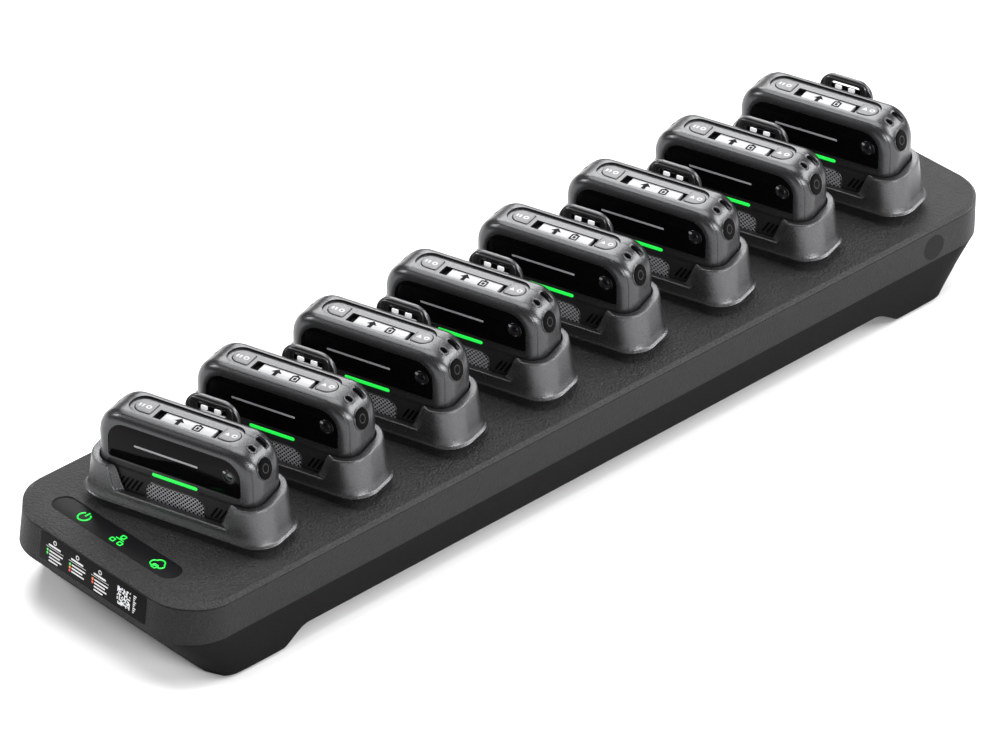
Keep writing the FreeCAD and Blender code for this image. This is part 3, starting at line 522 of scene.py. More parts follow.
def box_about(half_x: float, half_y: float, radius: float,
              middle: tuple[float, float] = (0.0, 0.0), steps: int = 8) -> Outline:
    """Give a rounded rectangle about a point.

    Args:
        half_x: half its width.
        half_y: half its height.
        radius: corner radius.
        middle: the point.
        steps: pieces in each corner.

    Returns:
        The outline.
    """
    across, along = middle
    return box_outline(across - half_x, across + half_x, along - half_y, along + half_y, radius,
                       steps=steps)


def circle(across: float, along: float, radius: float, count: int = 32) -> Outline:
    """Give a circle of evenly spaced points.

    Args:
        across: x of its middle.
        along: y of its middle.
        radius: its radius.
        count: the number of points.

    Returns:
        The outline.
    """
    angle = np.arange(count) * TAU / count
    outward = np.stack([np.cos(angle), np.sin(angle)], 1)
    return Outline(np.array([across, along]) + outward * radius, outward)


@dataclass
class Skin:
    """Points and faces of a surface, in millimetres."""

    points: Array
    faces: list[tuple[int, ...]]

    def __add__(self, other: "Skin") -> "Skin":
        """Put two skins together."""
        shift = len(self.points)
        moved = [tuple(index + shift for index in face) for face in other.faces]
        return Skin(np.vstack([self.points, other.points]), self.faces + moved)

    def moved(self, turn: Array, shift: Sequence[float]) -> "Skin":
        """Turn the skin by a 3 by 3 matrix and shift it."""
        return Skin(self.points @ np.asarray(turn, float).T + np.asarray(shift, float), self.faces)


def together(skins: Sequence[Skin]) -> Skin:
    """Put many skins together."""
    counts = np.cumsum([0] + [len(skin.points) for skin in skins])
    faces = [tuple(index + start for index in face)
             for skin, start in zip(skins, counts) for face in skin.faces]
    return Skin(np.vstack([skin.points for skin in skins]), faces)


def rings(rows: Array, joined: bool = False) -> Skin:
    """Join closed rings into a skin.

    Args:
        rows: rings of points, shape (rings, points, 3).
        joined: join the last ring back to the first, as on a torus, instead of closing both
            with a face.

    Returns:
        The skin.
    """
    count, around = rows.shape[:2]
    last = count if joined else count - 1
    ring, step = np.meshgrid(np.arange(last), np.arange(around), indexing="ij")
    following = (step + 1) % around
    above = (ring + 1) % count
    quads = np.stack([ring * around + step, ring * around + following,
                      above * around + following, above * around + step], -1).reshape(-1, 4)
    faces = [tuple(face) for face in quads.tolist()]
    if not joined:
        faces.append(tuple(range(around - 1, -1, -1)))
        faces.append(tuple(range((count - 1) * around, count * around)))
    return Skin(rows.reshape(-1, 3), faces)


class Along(Enum):
    """The axis along which an outline is carried.

    Each value says which of (first, second, level) goes to x, y and z.
    """

    X = (2, 0, 1)
    Y = (0, 2, 1)
    Z = (0, 1, 2)


def lift(outline: Array, level: Any, along: Along) -> Array:
    """Put a plane outline at a level of an axis.

    The outline's first and second numbers become the two axes across; for X they are y and z,
    for Y they are x and z, and for Z they are x and y.

    Args:
        outline: the plane points.
        level: one number or one for each point.
        along: the axis.

    Returns:
        The points in space.
    """
    stacked = np.column_stack([outline, np.broadcast_to(level, len(outline))])
    return stacked[:, list(along.value)]


def slab(outline: Outline, low: float, high: float, along: Along, soft: float = 0.15,
         steps: int = 3) -> Skin:
    """Carry an outline between two levels, with softened edges.

    Each edge is a quarter circle: the inset is soft * (1 - cos) and the rise is soft * sin.

    Args:
        outline: the plane outline.
        low: first level.
        high: last level.
        along: the axis.
        soft: radius of the edges.
        steps: pieces in each edge.

    Returns:
        A closed skin.
    """
    angle = np.linspace(0, math.pi / 2, steps + 1)
    inset = soft * (1 - np.sin(angle))
    rise = soft * (1 - np.cos(angle))
    rows = [lift(outline.inset(value), low + up, along) for value, up in zip(inset, rise)]
    rows += [lift(outline.inset(value), high - up, along)
             for value, up in zip(inset[::-1], rise[::-1])]
    return rings(np.array(rows))


def collar(outer: Outline, inner: Outline, low: float, high: float, along: Along,
           soft: float = 0.15, count: int = 96) -> Skin:
    """Carry a ring-shaped section, between an outer and an inner outline, along an axis.

    Args:
        outer: the outer outline.
        inner: the inner outline.
        low: first level.
        high: last level.
        along: the axis.
        soft: chamfer of the edges.
        count: points round each outline.

    Returns:
        A closed skin with a hole through it.
    """
    out = outer.even(count)
    hole = inner.even(count)
    shift = int(np.argmin(np.linalg.norm(hole.points - out.points[0], axis=1)))
    hole = Outline(np.roll(hole.points, -shift, 0), np.roll(hole.normals, -shift, 0))
    rows = [
        lift(out.inset(soft), low, along), lift(out.points, low + soft, along),
        lift(out.points, high - soft, along), lift(out.inset(soft), high, along),
        lift(hole.inset(-soft), high, along), lift(hole.points, high - soft, along),
        lift(hole.points, low + soft, along), lift(hole.inset(-soft), low, along),
    ]
    return rings(np.array(rows), joined=True)


def tube(path: Array, radius: float, closed: bool = False, sides: int = 8) -> Skin:
    """Carry a circle along a path.

    The circle lies across the path's direction; its first arm is the direction crossed with the
    axis along which the path spreads least.

    Args:
        path: the points of the path.
        radius: the tube's radius.
        closed: whether the path returns to its start.
        sides: points round the tube.

    Returns:
        The skin.
    """
    if closed:
        ahead = np.roll(path, -1, 0) - np.roll(path, 1, 0)
    else:
        ahead = np.gradient(path, axis=0)
    ahead = ahead / np.linalg.norm(ahead, axis=1, keepdims=True)
    reference = np.eye(3)[int(np.argmin(np.ptp(path, axis=0)))]
    arm = np.cross(ahead, reference)
    arm = arm / np.linalg.norm(arm, axis=1, keepdims=True)
    other = np.cross(ahead, arm)
    angle = np.arange(sides) * TAU / sides
    rows = (path[:, None] + radius * (np.cos(angle)[None, :, None] * arm[:, None]
                                      + np.sin(angle)[None, :, None] * other[:, None]))
    return rings(rows, joined=closed)


def dome(outline: Outline, low: float, high: float, crown: float, along: Along,
         soft: float = 0.5) -> Skin:
    """Carry an outline up to a gently crowned top.

    The top's rings shrink towards the outline's middle by a share s; their height is the edge
    height plus crown * (1 - (1 - s) squared).

    Args:
        outline: the plane outline.
        low: level of the underside.
        high: level of the top's edge.
        crown: extra height at the middle.
        along: the axis.
        soft: radius of the top edge.

    Returns:
        A closed skin.
    """
    angle = np.linspace(0, math.pi / 2, 5)
    sign = math.copysign(1.0, high - low)
    rows = [lift(outline.points, low, along)]
    for value in angle:
        level = high - sign * soft * (1 - math.sin(value))
        rows.append(lift(outline.inset(soft * (1 - math.cos(value))), level, along))
    edge = outline.inset(soft)
    middle = edge.mean(0)
    for share in (0.25, 0.5, 0.75, 0.92):
        shrunk = middle + (edge - middle) * (1 - share)
        rows.append(lift(shrunk, high + sign * crown * (1 - (1 - share) ** 2), along))
    return rings(np.array(rows))


# ------------------------------------------------------------------ meshes and pieces


def mesh_of(name: str, skin: Skin) -> bpy.types.Mesh:
    """Write a skin into a mesh, in metres, merged and facing outwards.

    Args:
        name: the mesh's name.
        skin: the skin, in millimetres.

    Returns:
        The mesh.
    """
    mesh = bpy.data.meshes.new(name)
    mesh.from_pydata((skin.points * MM).tolist(), [], skin.faces)
    work = bmesh.new()
    work.from_mesh(mesh)
    bmesh.ops.remove_doubles(work, verts=work.verts, dist=2e-6)
    bmesh.ops.dissolve_degenerate(work, edges=work.edges, dist=1e-7)
    bmesh.ops.recalc_face_normals(work, faces=work.faces)
    work.to_mesh(mesh)
    work.free()
    return mesh


def carved(name: str, base: Skin, cutters: Sequence[Skin]) -> bpy.types.Mesh:
    """Cut closed skins out of another.

    Args:
        name: the result's name.
        base: the closed skin that stays.
        cutters: the closed skins that are taken away.

    Returns:
        The cut mesh.
    """
    body = bpy.data.objects.new(f"{name}_blank", mesh_of(f"{name}_blank", base))
    tool = bpy.data.objects.new(f"{name}_tool", mesh_of(f"{name}_tool", together(cutters)))
    for item in (body, tool):
        bpy.context.scene.collection.objects.link(item)
    cut = body.modifiers.new("cut", "BOOLEAN")
    cut.operation = "DIFFERENCE"
    cut.solver = "EXACT"
    cut.use_self = True
    cut.object = tool
    graph = bpy.context.evaluated_depsgraph_get()
    mesh = bpy.data.meshes.new_from_object(body.evaluated_get(graph))
    mesh.name = name
    for item in (body, tool):
        bpy.data.objects.remove(item)
    return mesh


def piece(name: str, mesh: bpy.types.Mesh, finish: Finish, body: str,
          nodes: Sequence[str] = (), angle: float = 32.0) -> None:
    """Make an object of a mesh, dress it and let it ride on its CAD body.

    Args:
        name: the piece's name.
        mesh: its mesh, already in place.
        finish: the finish it takes.
        body: the CAD body it rides on.
        nodes: the CAD nodes it stands for.
        angle: edges sharper than this stay sharp, in degrees.
    """
    made = bpy.data.objects.new(name, mesh)
    bpy.context.scene.collection.objects.link(made)
    mesh.materials.clear()
    mesh.materials.append(material_of(finish))
    mesh.shade_smooth()
    mesh.set_sharp_from_angle(angle=math.radians(angle))
    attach(made, body)
    if nodes:
        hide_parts(*nodes)


# ------------------------------------------------------------------ bays


@dataclass(frozen=True)
class Bay:
    """One place in the row: where a unit stands and how it is turned."""

    number: int
    across: float
    along: float
    rest: float
    turn: float

    def matrix(self, raised: bool) -> Matrix:
        """Give the placing matrix, in metres, from the bay's own axes to the frame."""
        height = self.rest if raised else 0.0
        shift = Matrix.Translation(Vector((self.across, self.along, height)) * MM)
        return shift @ Matrix.Rotation(self.turn, 4, "Z")

    def place(self, mesh: bpy.types.Mesh, name: str, raised: bool = True) -> bpy.types.Mesh:
        """Copy a mesh into the bay.

        Args:
            mesh: the mesh in the bay's own axes.
            name: the copy's name.
            raised: whether the mesh's zero is the unit's lower end and not the table.

        Returns:
            The placed copy.
        """
        copy = mesh.copy()
        copy.name = name
        copy.transform(self.matrix(raised))
        return copy


KEY_MIDDLES = ((-21.9, 0.2), (21.95, -0.05))
KEY_TOP = 65.7
BAY_COUNT = 8


def find_bays() -> list[Bay]:
    """Read the row of bays from the keys' boxes.

    The two keys of a unit lie on one line across it, so the line's heading is the unit's turn
    and a fixed share of the line is the unit's middle.

    Returns:
        The eight bays, from the status panel's end.
    """
    (key_left, depth_left), (key_right, depth_right) = KEY_MIDDLES
    own = math.atan2(depth_right - depth_left, key_right - key_left)
    share = -key_left / (key_right - key_left)
    off = depth_left + (depth_right - depth_left) * share
    bays = []
    for number in range(1, BAY_COUNT + 1):
        low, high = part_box(f"radio_{number}_left_key")
        left = (low + high) / 2 / MM
        low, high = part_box(f"radio_{number}_right_key")
        right = (low + high) / 2 / MM
        turn = math.atan2(right.y - left.y, right.x - left.x) - own
        middle = left.lerp(right, share)
        across = middle.x + off * math.sin(turn)
        along = middle.y - off * math.cos(turn)
        bays.append(Bay(number, across, along, high.z / MM - KEY_TOP, turn))
    return bays


# ------------------------------------------------------------------ the dock


@dataclass
class Dock:
    """The long housing: cover, side band, base, status panel and label, with a seat cut for the
    badge.
    """

    half_across: float = 63.1
    half_along: float = 250.9
    corner: float = 24.0
    top: float = 42.9
    parting: float = 40.6
    band_low: float = 23.3
    band_wall: float = 2.6
    lean: float = 2.4
    near_roll: float = 10.9
    strip: float = 1.35
    cup_hole: tuple[float, float, float] = (46.0, 14.6, 10.4)
    status: tuple[float, float, float, float] = (-45.0, 35.7, -237.1, -225.5)
    icon_places: tuple[float, float, float] = (-26.2, -2.6, 22.6)
    icon_along: float = -231.3
    foot_ends: tuple[float, float] = (-230.3, 220.0)
    foot_corner: float = 11.0
    arch: tuple[float, float, float, float] = (-200.0, -181.0, 171.0, 191.0)
    arch_height: float = 8.8
    pad_stand: float = 0.5
    pad_half: tuple[float, float] = (13.1, 7.1)
    pad_places: tuple[tuple[float, ...], ...] = ((-42.0, 42.0), (-215.0, 205.0))
    screw_places: tuple[tuple[float, ...], ...] = ((-56.0, 56.0), (-160.0, -55.0, 55.0, 155.0))
    screw_well: float = 3.3
    label_size: tuple[float, float] = (70.0, 13.4)
    label_middle: tuple[float, float] = (0.5, 33.2)
    label_columns: tuple[float, ...] = (-31.0, -16.0, -1.0)
    label_rows: tuple[float, ...] = (9.0, 7.2, 8.4, 6.0)
    cell: float = 0.66
    cell_corner: tuple[float, float] = (16.2, -4.6)
    cell_count: int = 13
    cell_share: float = 0.52
    bays: list[Bay] = field(default_factory=list)

    def outline(self, step: float = 6.0) -> Outline:
        """Give the dock's plan outline."""
        return box_outline(-self.half_across, self.half_across, -self.half_along,
                           self.half_along, self.corner, steps=20).dense(step)

    def nearness(self, plan: Outline) -> Array:
        """Give each point's share in the near end's lean and soft roll.

        It is the square of the outward normal's part towards the near end, so it fades
        smoothly round the two near corners.

        Args:
            plan: the plan outline.

        Returns:
            Numbers from 0 to 1.
        """
        facing = np.clip(-plan.normals[:, 1], 0.0, 1.0)
        return facing ** 2 * (3 - 2 * facing)

    def cover(self) -> None:
        """Make the cover with its eight pocket holes and the panel's seat.

        The edge is a profile carried round the outline: a flat narrow chamfer that widens and
        turns into a quarter-round roll as the nearness goes to 1.
        """
        plan = self.outline()
        near = self.nearness(plan)
        rows = [lift(plan.inset(self.lean * near + 1.0), self.parting - 1.4, Along.Z),
                lift(plan.inset(self.lean * near + 1.0), self.parting + 0.05, Along.Z),
                lift(plan.inset(self.lean * near + 0.05), self.parting + 0.05, Along.Z)]
        start_level = (self.top - self.strip) * (1 - near) + (self.parting + 0.45) * near
        first_inset = self.lean * near
        last_inset = self.strip * (1 - near) + self.near_roll * near
        for share in np.linspace(0.0, 1.0, 9):
            rise = share * (1 - near) + (1 - (1 - share) ** 2) * near
            inset = first_inset + (last_inset - first_inset) * share
            level = start_level + (self.top - start_level) * rise
            rows.append(lift(plan.inset(inset), level, Along.Z))
        blank = rings(np.array(rows))
        hole = box_about(*self.cup_hole)
        cutters = []
        for bay in self.bays:
            cosine, sine = math.cos(bay.turn), math.sin(bay.turn)
            turn = np.array([[cosine, -sine, 0], [sine, cosine, 0], [0, 0, 1]])
            cutters.append(slab(hole, 36.0, 45.0, Along.Z).moved(turn, (bay.across, bay.along, 0)))
        _, _, low, high = self.status
        seat = box_outline(*self.status, (high - low) / 2 - 0.01)
        cutters.append(slab(seat, self.top - 0.7, self.top + 1, Along.Z, 0.02))
        mesh = carved("dock_cover", blank, cutters)
        piece("dock_cover", mesh, COVER, "dock", ["top_cover"], 24.0)

    def band(self) -> None:
        """Make the side band: a hollow section carried round, leaning at the near end."""
        plan = self.outline()
        near = self.nearness(plan)
        top = self.parting - 0.25
        wall, middle = self.band_wall, 32.0
        profile = [(0.35, self.band_low), (0.0, self.band_low + 0.35), (0.0, middle),
                   (0.0, top - 0.3), (0.3, top), (wall, top), (wall, middle),
                   (wall, self.band_low)]
        span = self.parting - self.band_low
        rows = [lift(plan.inset(self.lean * near * (level - self.band_low) / span + inset),
                     level, Along.Z) for inset, level in profile]
        skin = rings(np.array(rows), joined=True)
        cutters = []
        for node in ("power_inlet", "network_port"):
            low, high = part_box(node)
            hole = box_outline(*grown((low.x / MM, high.x / MM, low.z / MM, high.z / MM), 0.3),
                               1.6)
            cutters.append(slab(hole, 240.0, 256.0, Along.Y, 0.02))
        low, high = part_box("side_badge")
        place = ((low.y + high.y) / 2 / MM, (low.z + high.z) / 2 / MM)
        seat = circle(*place, (high.z - low.z) / 2 / MM + 0.1, 48)
        cutters.append(slab(seat, self.half_across - 1.3, self.half_across + 2, Along.X, 0.02))
        mesh = carved("dock_band", skin, cutters)
        piece("dock_band", mesh, BAND, "dock", ["side_band"])

    def base(self) -> None:
        """Make the dark base: a block whose ends slope inwards, with a long arch under it.

        The plan at a depth share s runs from the band's outline at s = 0 to the shorter foot
        outline at s = 1; the arch's soffit follows a smooth step up from each foot.
        """
        count = 640
        side = self.half_across - 0.25
        upper = box_outline(-side, side, -self.half_along + 0.25, self.half_along - 0.25,
                            self.corner - 0.25, steps=20).dense(2.0).even(count)
        near, far = self.foot_ends
        lower = box_outline(-side, side, near, far, self.foot_corner,
                            steps=20).dense(2.0).even(count)
        middle = np.interp(upper.points[:, 1], (-self.half_along, self.half_along), (near, far))
        order = np.argmin(np.abs(lower.points[None, :, 1] - middle[:, None])
                          + 0.6 * np.abs(lower.points[None, :, 0] - upper.points[:, None, 0]), 1)
        foot = Outline(lower.points[order], lower.normals[order])
        rows = [lift(upper.inset(0.5), self.band_low + 1.0, Along.Z),
                lift(upper.points, self.band_low + 0.6, Along.Z)]
        edge, stand = 1.6, self.pad_stand
        span = self.band_low - stand
        for share in np.linspace(0.0, 1.0, 9):
            level = self.band_low - (span - edge) * share
            depth = (self.band_low - level) / span
            rows.append(lift(upper.points + (foot.points - upper.points) * depth, level, Along.Z))
        last = upper.points + (foot.points - upper.points) * (1 - edge / span)
        for turn in np.radians((30, 60, 90)):
            rows.append(lift(last - foot.normals * edge * (1 - math.cos(turn)),
                             stand + edge * (1 - math.sin(turn)), Along.Z))
        blank = rings(np.array(rows))
        first, second, third, fourth = self.arch
        share = np.linspace(0, 1, 20)
        step = share ** 2 * (3 - 2 * share)
        profile = np.vstack([
            np.column_stack([third + (fourth - third) * share, self.arch_height * (1 - step)]),
            [[fourth, -6.0], [first, -6.0]],
            np.column_stack([first + (second - first) * share, self.arch_height * step])])
        cutters = [slab(Outline(profile, np.zeros_like(profile)), -70.0, 70.0, Along.X, 0.0, 1)]
        for middle in product(*self.pad_places):
            seat = box_about(*self.pad_half, 3.0, middle)
            cutters.append(slab(seat, -1.0, 1.35, Along.Z, 0.0, 1))
        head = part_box("case_screws")[0].z / MM
        for middle in product(*self.screw_places):
            well = circle(*middle, self.screw_well, 24)
            cutters.append(slab(well, 5.0, head + 2.0, Along.Z, 0.0, 1))
        mesh = carved("dock_base", blank, cutters)
        piece("dock_base", mesh, BASE, "dock", ["base_tray"], 30.0)

    def status_panel(self) -> None:
        """Make the dark pill-shaped panel and its three green signs."""
        _, _, low, high = self.status
        pill = box_outline(*grown(self.status, -0.15), (high - low) / 2 - 0.17)
        level = self.top - 0.35
        mesh = mesh_of("status_pill", slab(pill, level - 0.3, level, Along.Z, 0.12))
        piece("status_pill", mesh, STATUS, "dock", ["status_panel"])
        signs = [self.power_sign(), self.network_sign(), self.cloud_sign()]
        placed = [skin.moved(np.eye(3), (across, self.icon_along, level + 0.05))
                  for skin, across in zip(signs, self.icon_places)]
        piece("status_signs", mesh_of("status_signs", together(placed)), GREEN, "dock",
              ["status_icons"])

    def power_sign(self) -> Skin:
        """Give a broken ring with a stroke through its gap."""
        reach, thick = 2.9, 0.36
        angle = np.radians(np.linspace(125, 415, 40))
        ring = np.stack([reach * np.cos(angle), reach * np.sin(angle), 0 * angle], 1)
        stroke = np.array([[0, 0.5, 0], [0, 1.9, 0], [0, 3.4, 0]])
        return tube(ring, thick) + tube(stroke, thick)

    def network_sign(self) -> Skin:
        """Give three small linked frames."""
        thick = 0.28
        frames = []
        for middle in ((0.0, 2.3), (-2.4, -2.0), (2.4, -2.0)):
            edge = box_about(1.15, 1.0, 0.4, middle, steps=3).dense(0.8)
            frames.append(tube(lift(edge.points, 0.0, Along.Z), thick, closed=True))
        links = [np.array([[0, 1.1, 0], [0, 0.8, 0], [0, 0.2, 0]]),
                 np.array([[-2.4, 0.2, 0], [0, 0.2, 0], [2.4, 0.2, 0]])]
        return together(frames + [tube(path, thick) for path in links])

    def cloud_sign(self) -> Skin:
        """Give a cloud with a small frame at its foot.

        The cloud is the outer edge of three circles: for each heading it takes the farthest
        reach of a ray from the middle over the three.

        Returns:
            The sign.
        """
        heading = np.linspace(0, TAU, 72, endpoint=False)
        ray = np.stack([np.cos(heading), np.sin(heading)], 1)
        centres = np.array([[-1.9, -0.3], [0.1, 1.0], [2.0, -0.1]])
        radii = np.array([1.9, 2.4, 1.7])
        along = ray @ centres.T
        inside = along ** 2 - (centres ** 2).sum(1) + radii ** 2
        reach = np.where(inside > 0, along + np.sqrt(np.maximum(inside, 0)), 0).max(1)
        edge = np.column_stack([ray * np.maximum(reach, 0.8)[:, None], 0 * heading])
        box = box_outline(-1.3, 1.3, -3.0, -0.7, 0.4, steps=3).dense(0.8)
        return (tube(edge, 0.32, closed=True)
                + tube(lift(box.points, 0.0, Along.Z), 0.28, closed=True))

    def label(self) -> None:
        """Make the near face's black label with plain strokes, dots and a block of squares, all
        glowing faintly as painted light.
        """
        width, height = self.label_size
        across, level = self.label_middle
        span = self.parting - self.band_low
        lean = math.atan(self.lean / span)
        cosine, sine = math.cos(lean), math.sin(lean)
        turn = np.array([[1, 0, 0], [0, sine, -cosine], [0, cosine, sine]])
        shift = (across, -self.half_along + self.lean * (level - self.band_low) / span, level)
        sheet = box_about(width / 2, height / 2, 1.0)
        plate = slab(sheet, -0.3, 0.12, Along.Z, 0.05).moved(turn, shift)
        piece("instruction_label", mesh_of("instruction_label", plate), LABEL, "dock",
              ["instruction_label"])

        def bar(left: float, right: float, middle: float, half: float) -> Skin:
            """Give one flat stroke of the label, in the label's own axes."""
            edge = box_outline(left, right, middle - half, middle + half, min(half, 0.25),
                               steps=2)
            return slab(edge, 0.08, 0.16, Along.Z, 0.02, 1).moved(turn, shift)

        strokes = []
        for column, start in enumerate(self.label_columns):
            place = (start + 5.5, 4.4)
            strokes.append(collar(circle(*place, 1.1, 24), circle(*place, 0.7, 24), 0.08, 0.16,
                                  Along.Z, 0.01, 24).moved(turn, shift))
            strokes.append(bar(start + 1.5, start + 9.5, 2.2, 0.45))
            strokes.append(bar(start, start + 11.5, 1.0, 0.10))
            for row, length in enumerate(self.label_rows[:4 - column % 2]):
                strokes.append(bar(start + 2.2, start + 2.2 + length, -0.6 - 1.6 * row, 0.36))
        rng = np.random.default_rng(7)
        cells = np.argwhere(rng.random((self.cell_count, self.cell_count)) < self.cell_share)
        corners = np.array([[0, 0], [1, 0], [1, 1], [0, 1]])
        for column, row in cells.tolist():
            low = np.array(self.cell_corner) + self.cell * np.array([column, row])
            edge = Outline(low + self.cell * corners, (2 * corners - 1) / math.sqrt(2))
            strokes.append(slab(edge, 0.08, 0.15, Along.Z, 0.0, 1).moved(turn, shift))
        for row in range(9):
            strokes.append(bar(26.6, 27.6 + 0.5 * (row % 3), -4.2 + row, 0.28))
        # The white print glows faintly: painted light.
        piece("label_strokes", mesh_of("label_strokes", together(strokes)), WHITE, "dock")
        # Printed dots that glow faintly: painted light.
        dots = {"label_dots_green": (LEAF, [(-29.9, -0.6), (-29.9, -2.2), (-14.9, -0.6)]),
                "label_dots_amber": (AMBER, [(-14.9, -2.2), (0.1, -0.6)]),
                "label_dots_red": (RED, [(-14.9, -3.8), (0.1, -2.2)])}
        for name, (finish, places) in dots.items():
            skins = [slab(circle(*place, 0.62, 16), 0.08, 0.18, Along.Z, 0.03).moved(turn, shift)
                     for place in places]
            piece(name, mesh_of(name, together(skins)), finish, "dock")

    def build(self) -> None:
        """Make every piece of the housing."""
        self.cover()
        self.band()
        self.base()
        self.status_panel()
        self.label()


@dataclass
class PocketCup:
    """One flared pocket: foot bead, waist, sloping rim with an open front, and inner tub."""

    foot: tuple[float, float, float] = (45.8, 15.3, 11.4)
    bead: tuple[float, float, float] = (49.8, 17.0, 12.6)
    waist: tuple[float, float, float] = (47.9, 16.0, 12.0)
    rim: tuple[float, float, float] = (45.3, 14.9, 11.0)
    inner: tuple[float, float, float] = (41.8, 12.4, 7.9)
    tub_wall: float = 1.8
    floor: float = 25.6
    top: float = 42.9
    bead_rise: float = 4.4
    undercut: float = 0.72
    lip: float = 0.75
    waist_rise: float = 8.6
    gate_low: float = 53.6
    gate_half: tuple[float, float] = (26.6, 33.4)
    rim_levels: tuple[float, float] = (64.8, 68.8)
    count: int = 300

    def section(self, size: tuple[float, float, float]) -> Outline:
        """Give one horizontal section of the cup.

        Args:
            size: half its width, half its depth and its corner radius.

        Returns:
            The outline, with its first point at the middle of the front.
        """
        half_x, half_y, _ = size
        even = box_about(*size, steps=12).dense(1.0).even(self.count)
        angle = np.arctan2(even.points[:, 1] / half_y, even.points[:, 0] / half_x)
        shift = int(np.argmin(np.abs(angle + math.pi / 2)))
        return Outline(np.roll(even.points, -shift, 0), np.roll(even.normals, -shift, 0))

    def rim_height(self, points: Array) -> Array:
        """Give the rim's height over each point.

        The rim is a plane that rises towards the back; at the front a gate is cut down to its
        sill, with sides that follow a smooth step from the sill to the rim.

        Args:
            points: plan points.

        Returns:
            Heights above the table.
        """
        low, high = self.rim_levels
        reach = 20.0
        plain = low + (high - low) * np.clip((points[:, 1] + reach) / (2 * reach), 0, 1)
        start, end = self.gate_half
        share = np.clip((np.abs(points[:, 0]) - start) / (end - start), 0, 1)
        smooth = share ** 2 * (3 - 2 * share)
        behind = np.clip((points[:, 1] + 9.0) / 3.0, 0, 1)
        return self.gate_low + (plain - self.gate_low) * np.maximum(smooth, behind)

    def mesh(self) -> bpy.types.Mesh:
        """Make one cup in the bay's axes.

        From the foot an undercut runs out to a rounded lip; above it the outer wall is a blend
        of sections by height, carried up to the rim's height.  The rim is a small half-round,
        and the inner wall runs down to the floor.

        Returns:
            The mesh.
        """
        foot, bead = self.section(self.foot), self.section(self.bead)
        waist, rim = self.section(self.waist), self.section(self.rim)
        half_x, half_y, radius = self.inner
        inner = self.section(self.inner)
        wall = self.tub_wall
        tub = self.section((half_x + wall, half_y + wall, radius + wall))
        height = self.rim_height(rim.points)
        rows = [lift(tub.inset(0.6), self.floor - 2.0, Along.Z),
                lift(tub.points, self.floor - 1.4, Along.Z),
                lift(tub.points, self.top - 2.0, Along.Z),
                lift(foot.points, self.top - 1.6, Along.Z)]
        swell = bead.points - foot.points
        under, lip = self.undercut, self.lip
        for share in np.linspace(0, 1, 5):
            rows.append(lift(foot.points + swell * under * share ** 2,
                             self.top + (self.bead_rise - 0.2) * share, Along.Z))
        for turn in np.radians((-60, -25, 10, 45, 75)):
            rows.append(lift(foot.points + swell * (under + (1 - under) * math.cos(turn)),
                             self.top + self.bead_rise + lip * (1 + math.sin(turn)), Along.Z))
        crest = foot.points + swell * 0.79
        start = self.top + self.bead_rise + 2 * lip
        base = self.top + self.waist_rise
        for share in np.linspace(0.12, 1, 7):
            rows.append(lift(crest + (waist.points - crest) * share ** 0.7,
                             start + (base - start) * share, Along.Z))
        full = self.rim_levels[1]
        edge = 0.55
        for share in np.linspace(0.12, 1, 9):
            level = base + (height - edge - base) * share
            blend = ((level - base) / (full - base))[:, None]
            rows.append(lift(waist.points + (rim.points - waist.points) * blend, level, Along.Z))
        blend = ((height - base) / (full - base))[:, None]
        outer = waist.points + (rim.points - waist.points) * blend
        for turn in np.radians((25, 50, 75, 90)):
            rows.append(lift(outer - rim.normals * edge * (1 - math.cos(turn)),
                             height - edge + edge * math.sin(turn), Along.Z))
        for turn in np.radians((90, 60, 30, 0)):
            rows.append(lift(inner.points + inner.normals * edge * (1 - math.cos(turn)),
                             height - edge + edge * math.sin(turn), Along.Z))
        for share in (0.3, 0.6, 1.0):
            level = (height - edge) * (1 - share) + (self.floor + 0.6) * share
            rows.append(lift(inner.points, level, Along.Z))
        rows.append(lift(inner.inset(0.6), self.floor, Along.Z))
        return mesh_of("pocket", rings(np.array(rows)))

    def build(self, bays: Sequence[Bay]) -> None:
        """Stand a cup in every bay."""
        master = self.mesh()
        for bay in bays:
            name = f"pocket_cup_{bay.number}"
            nodes = ["pocket_cups"] if bay.number == 1 else []
            piece(name, bay.place(master, name, False), CUP, "dock", nodes, 40.0)


# ------------------------------------------------------------------ the radio unit


CLIP_PARTS = ("clip_plate", "clip_rim", "clip_arm", "clip_painted_glints", "clip_bridge")


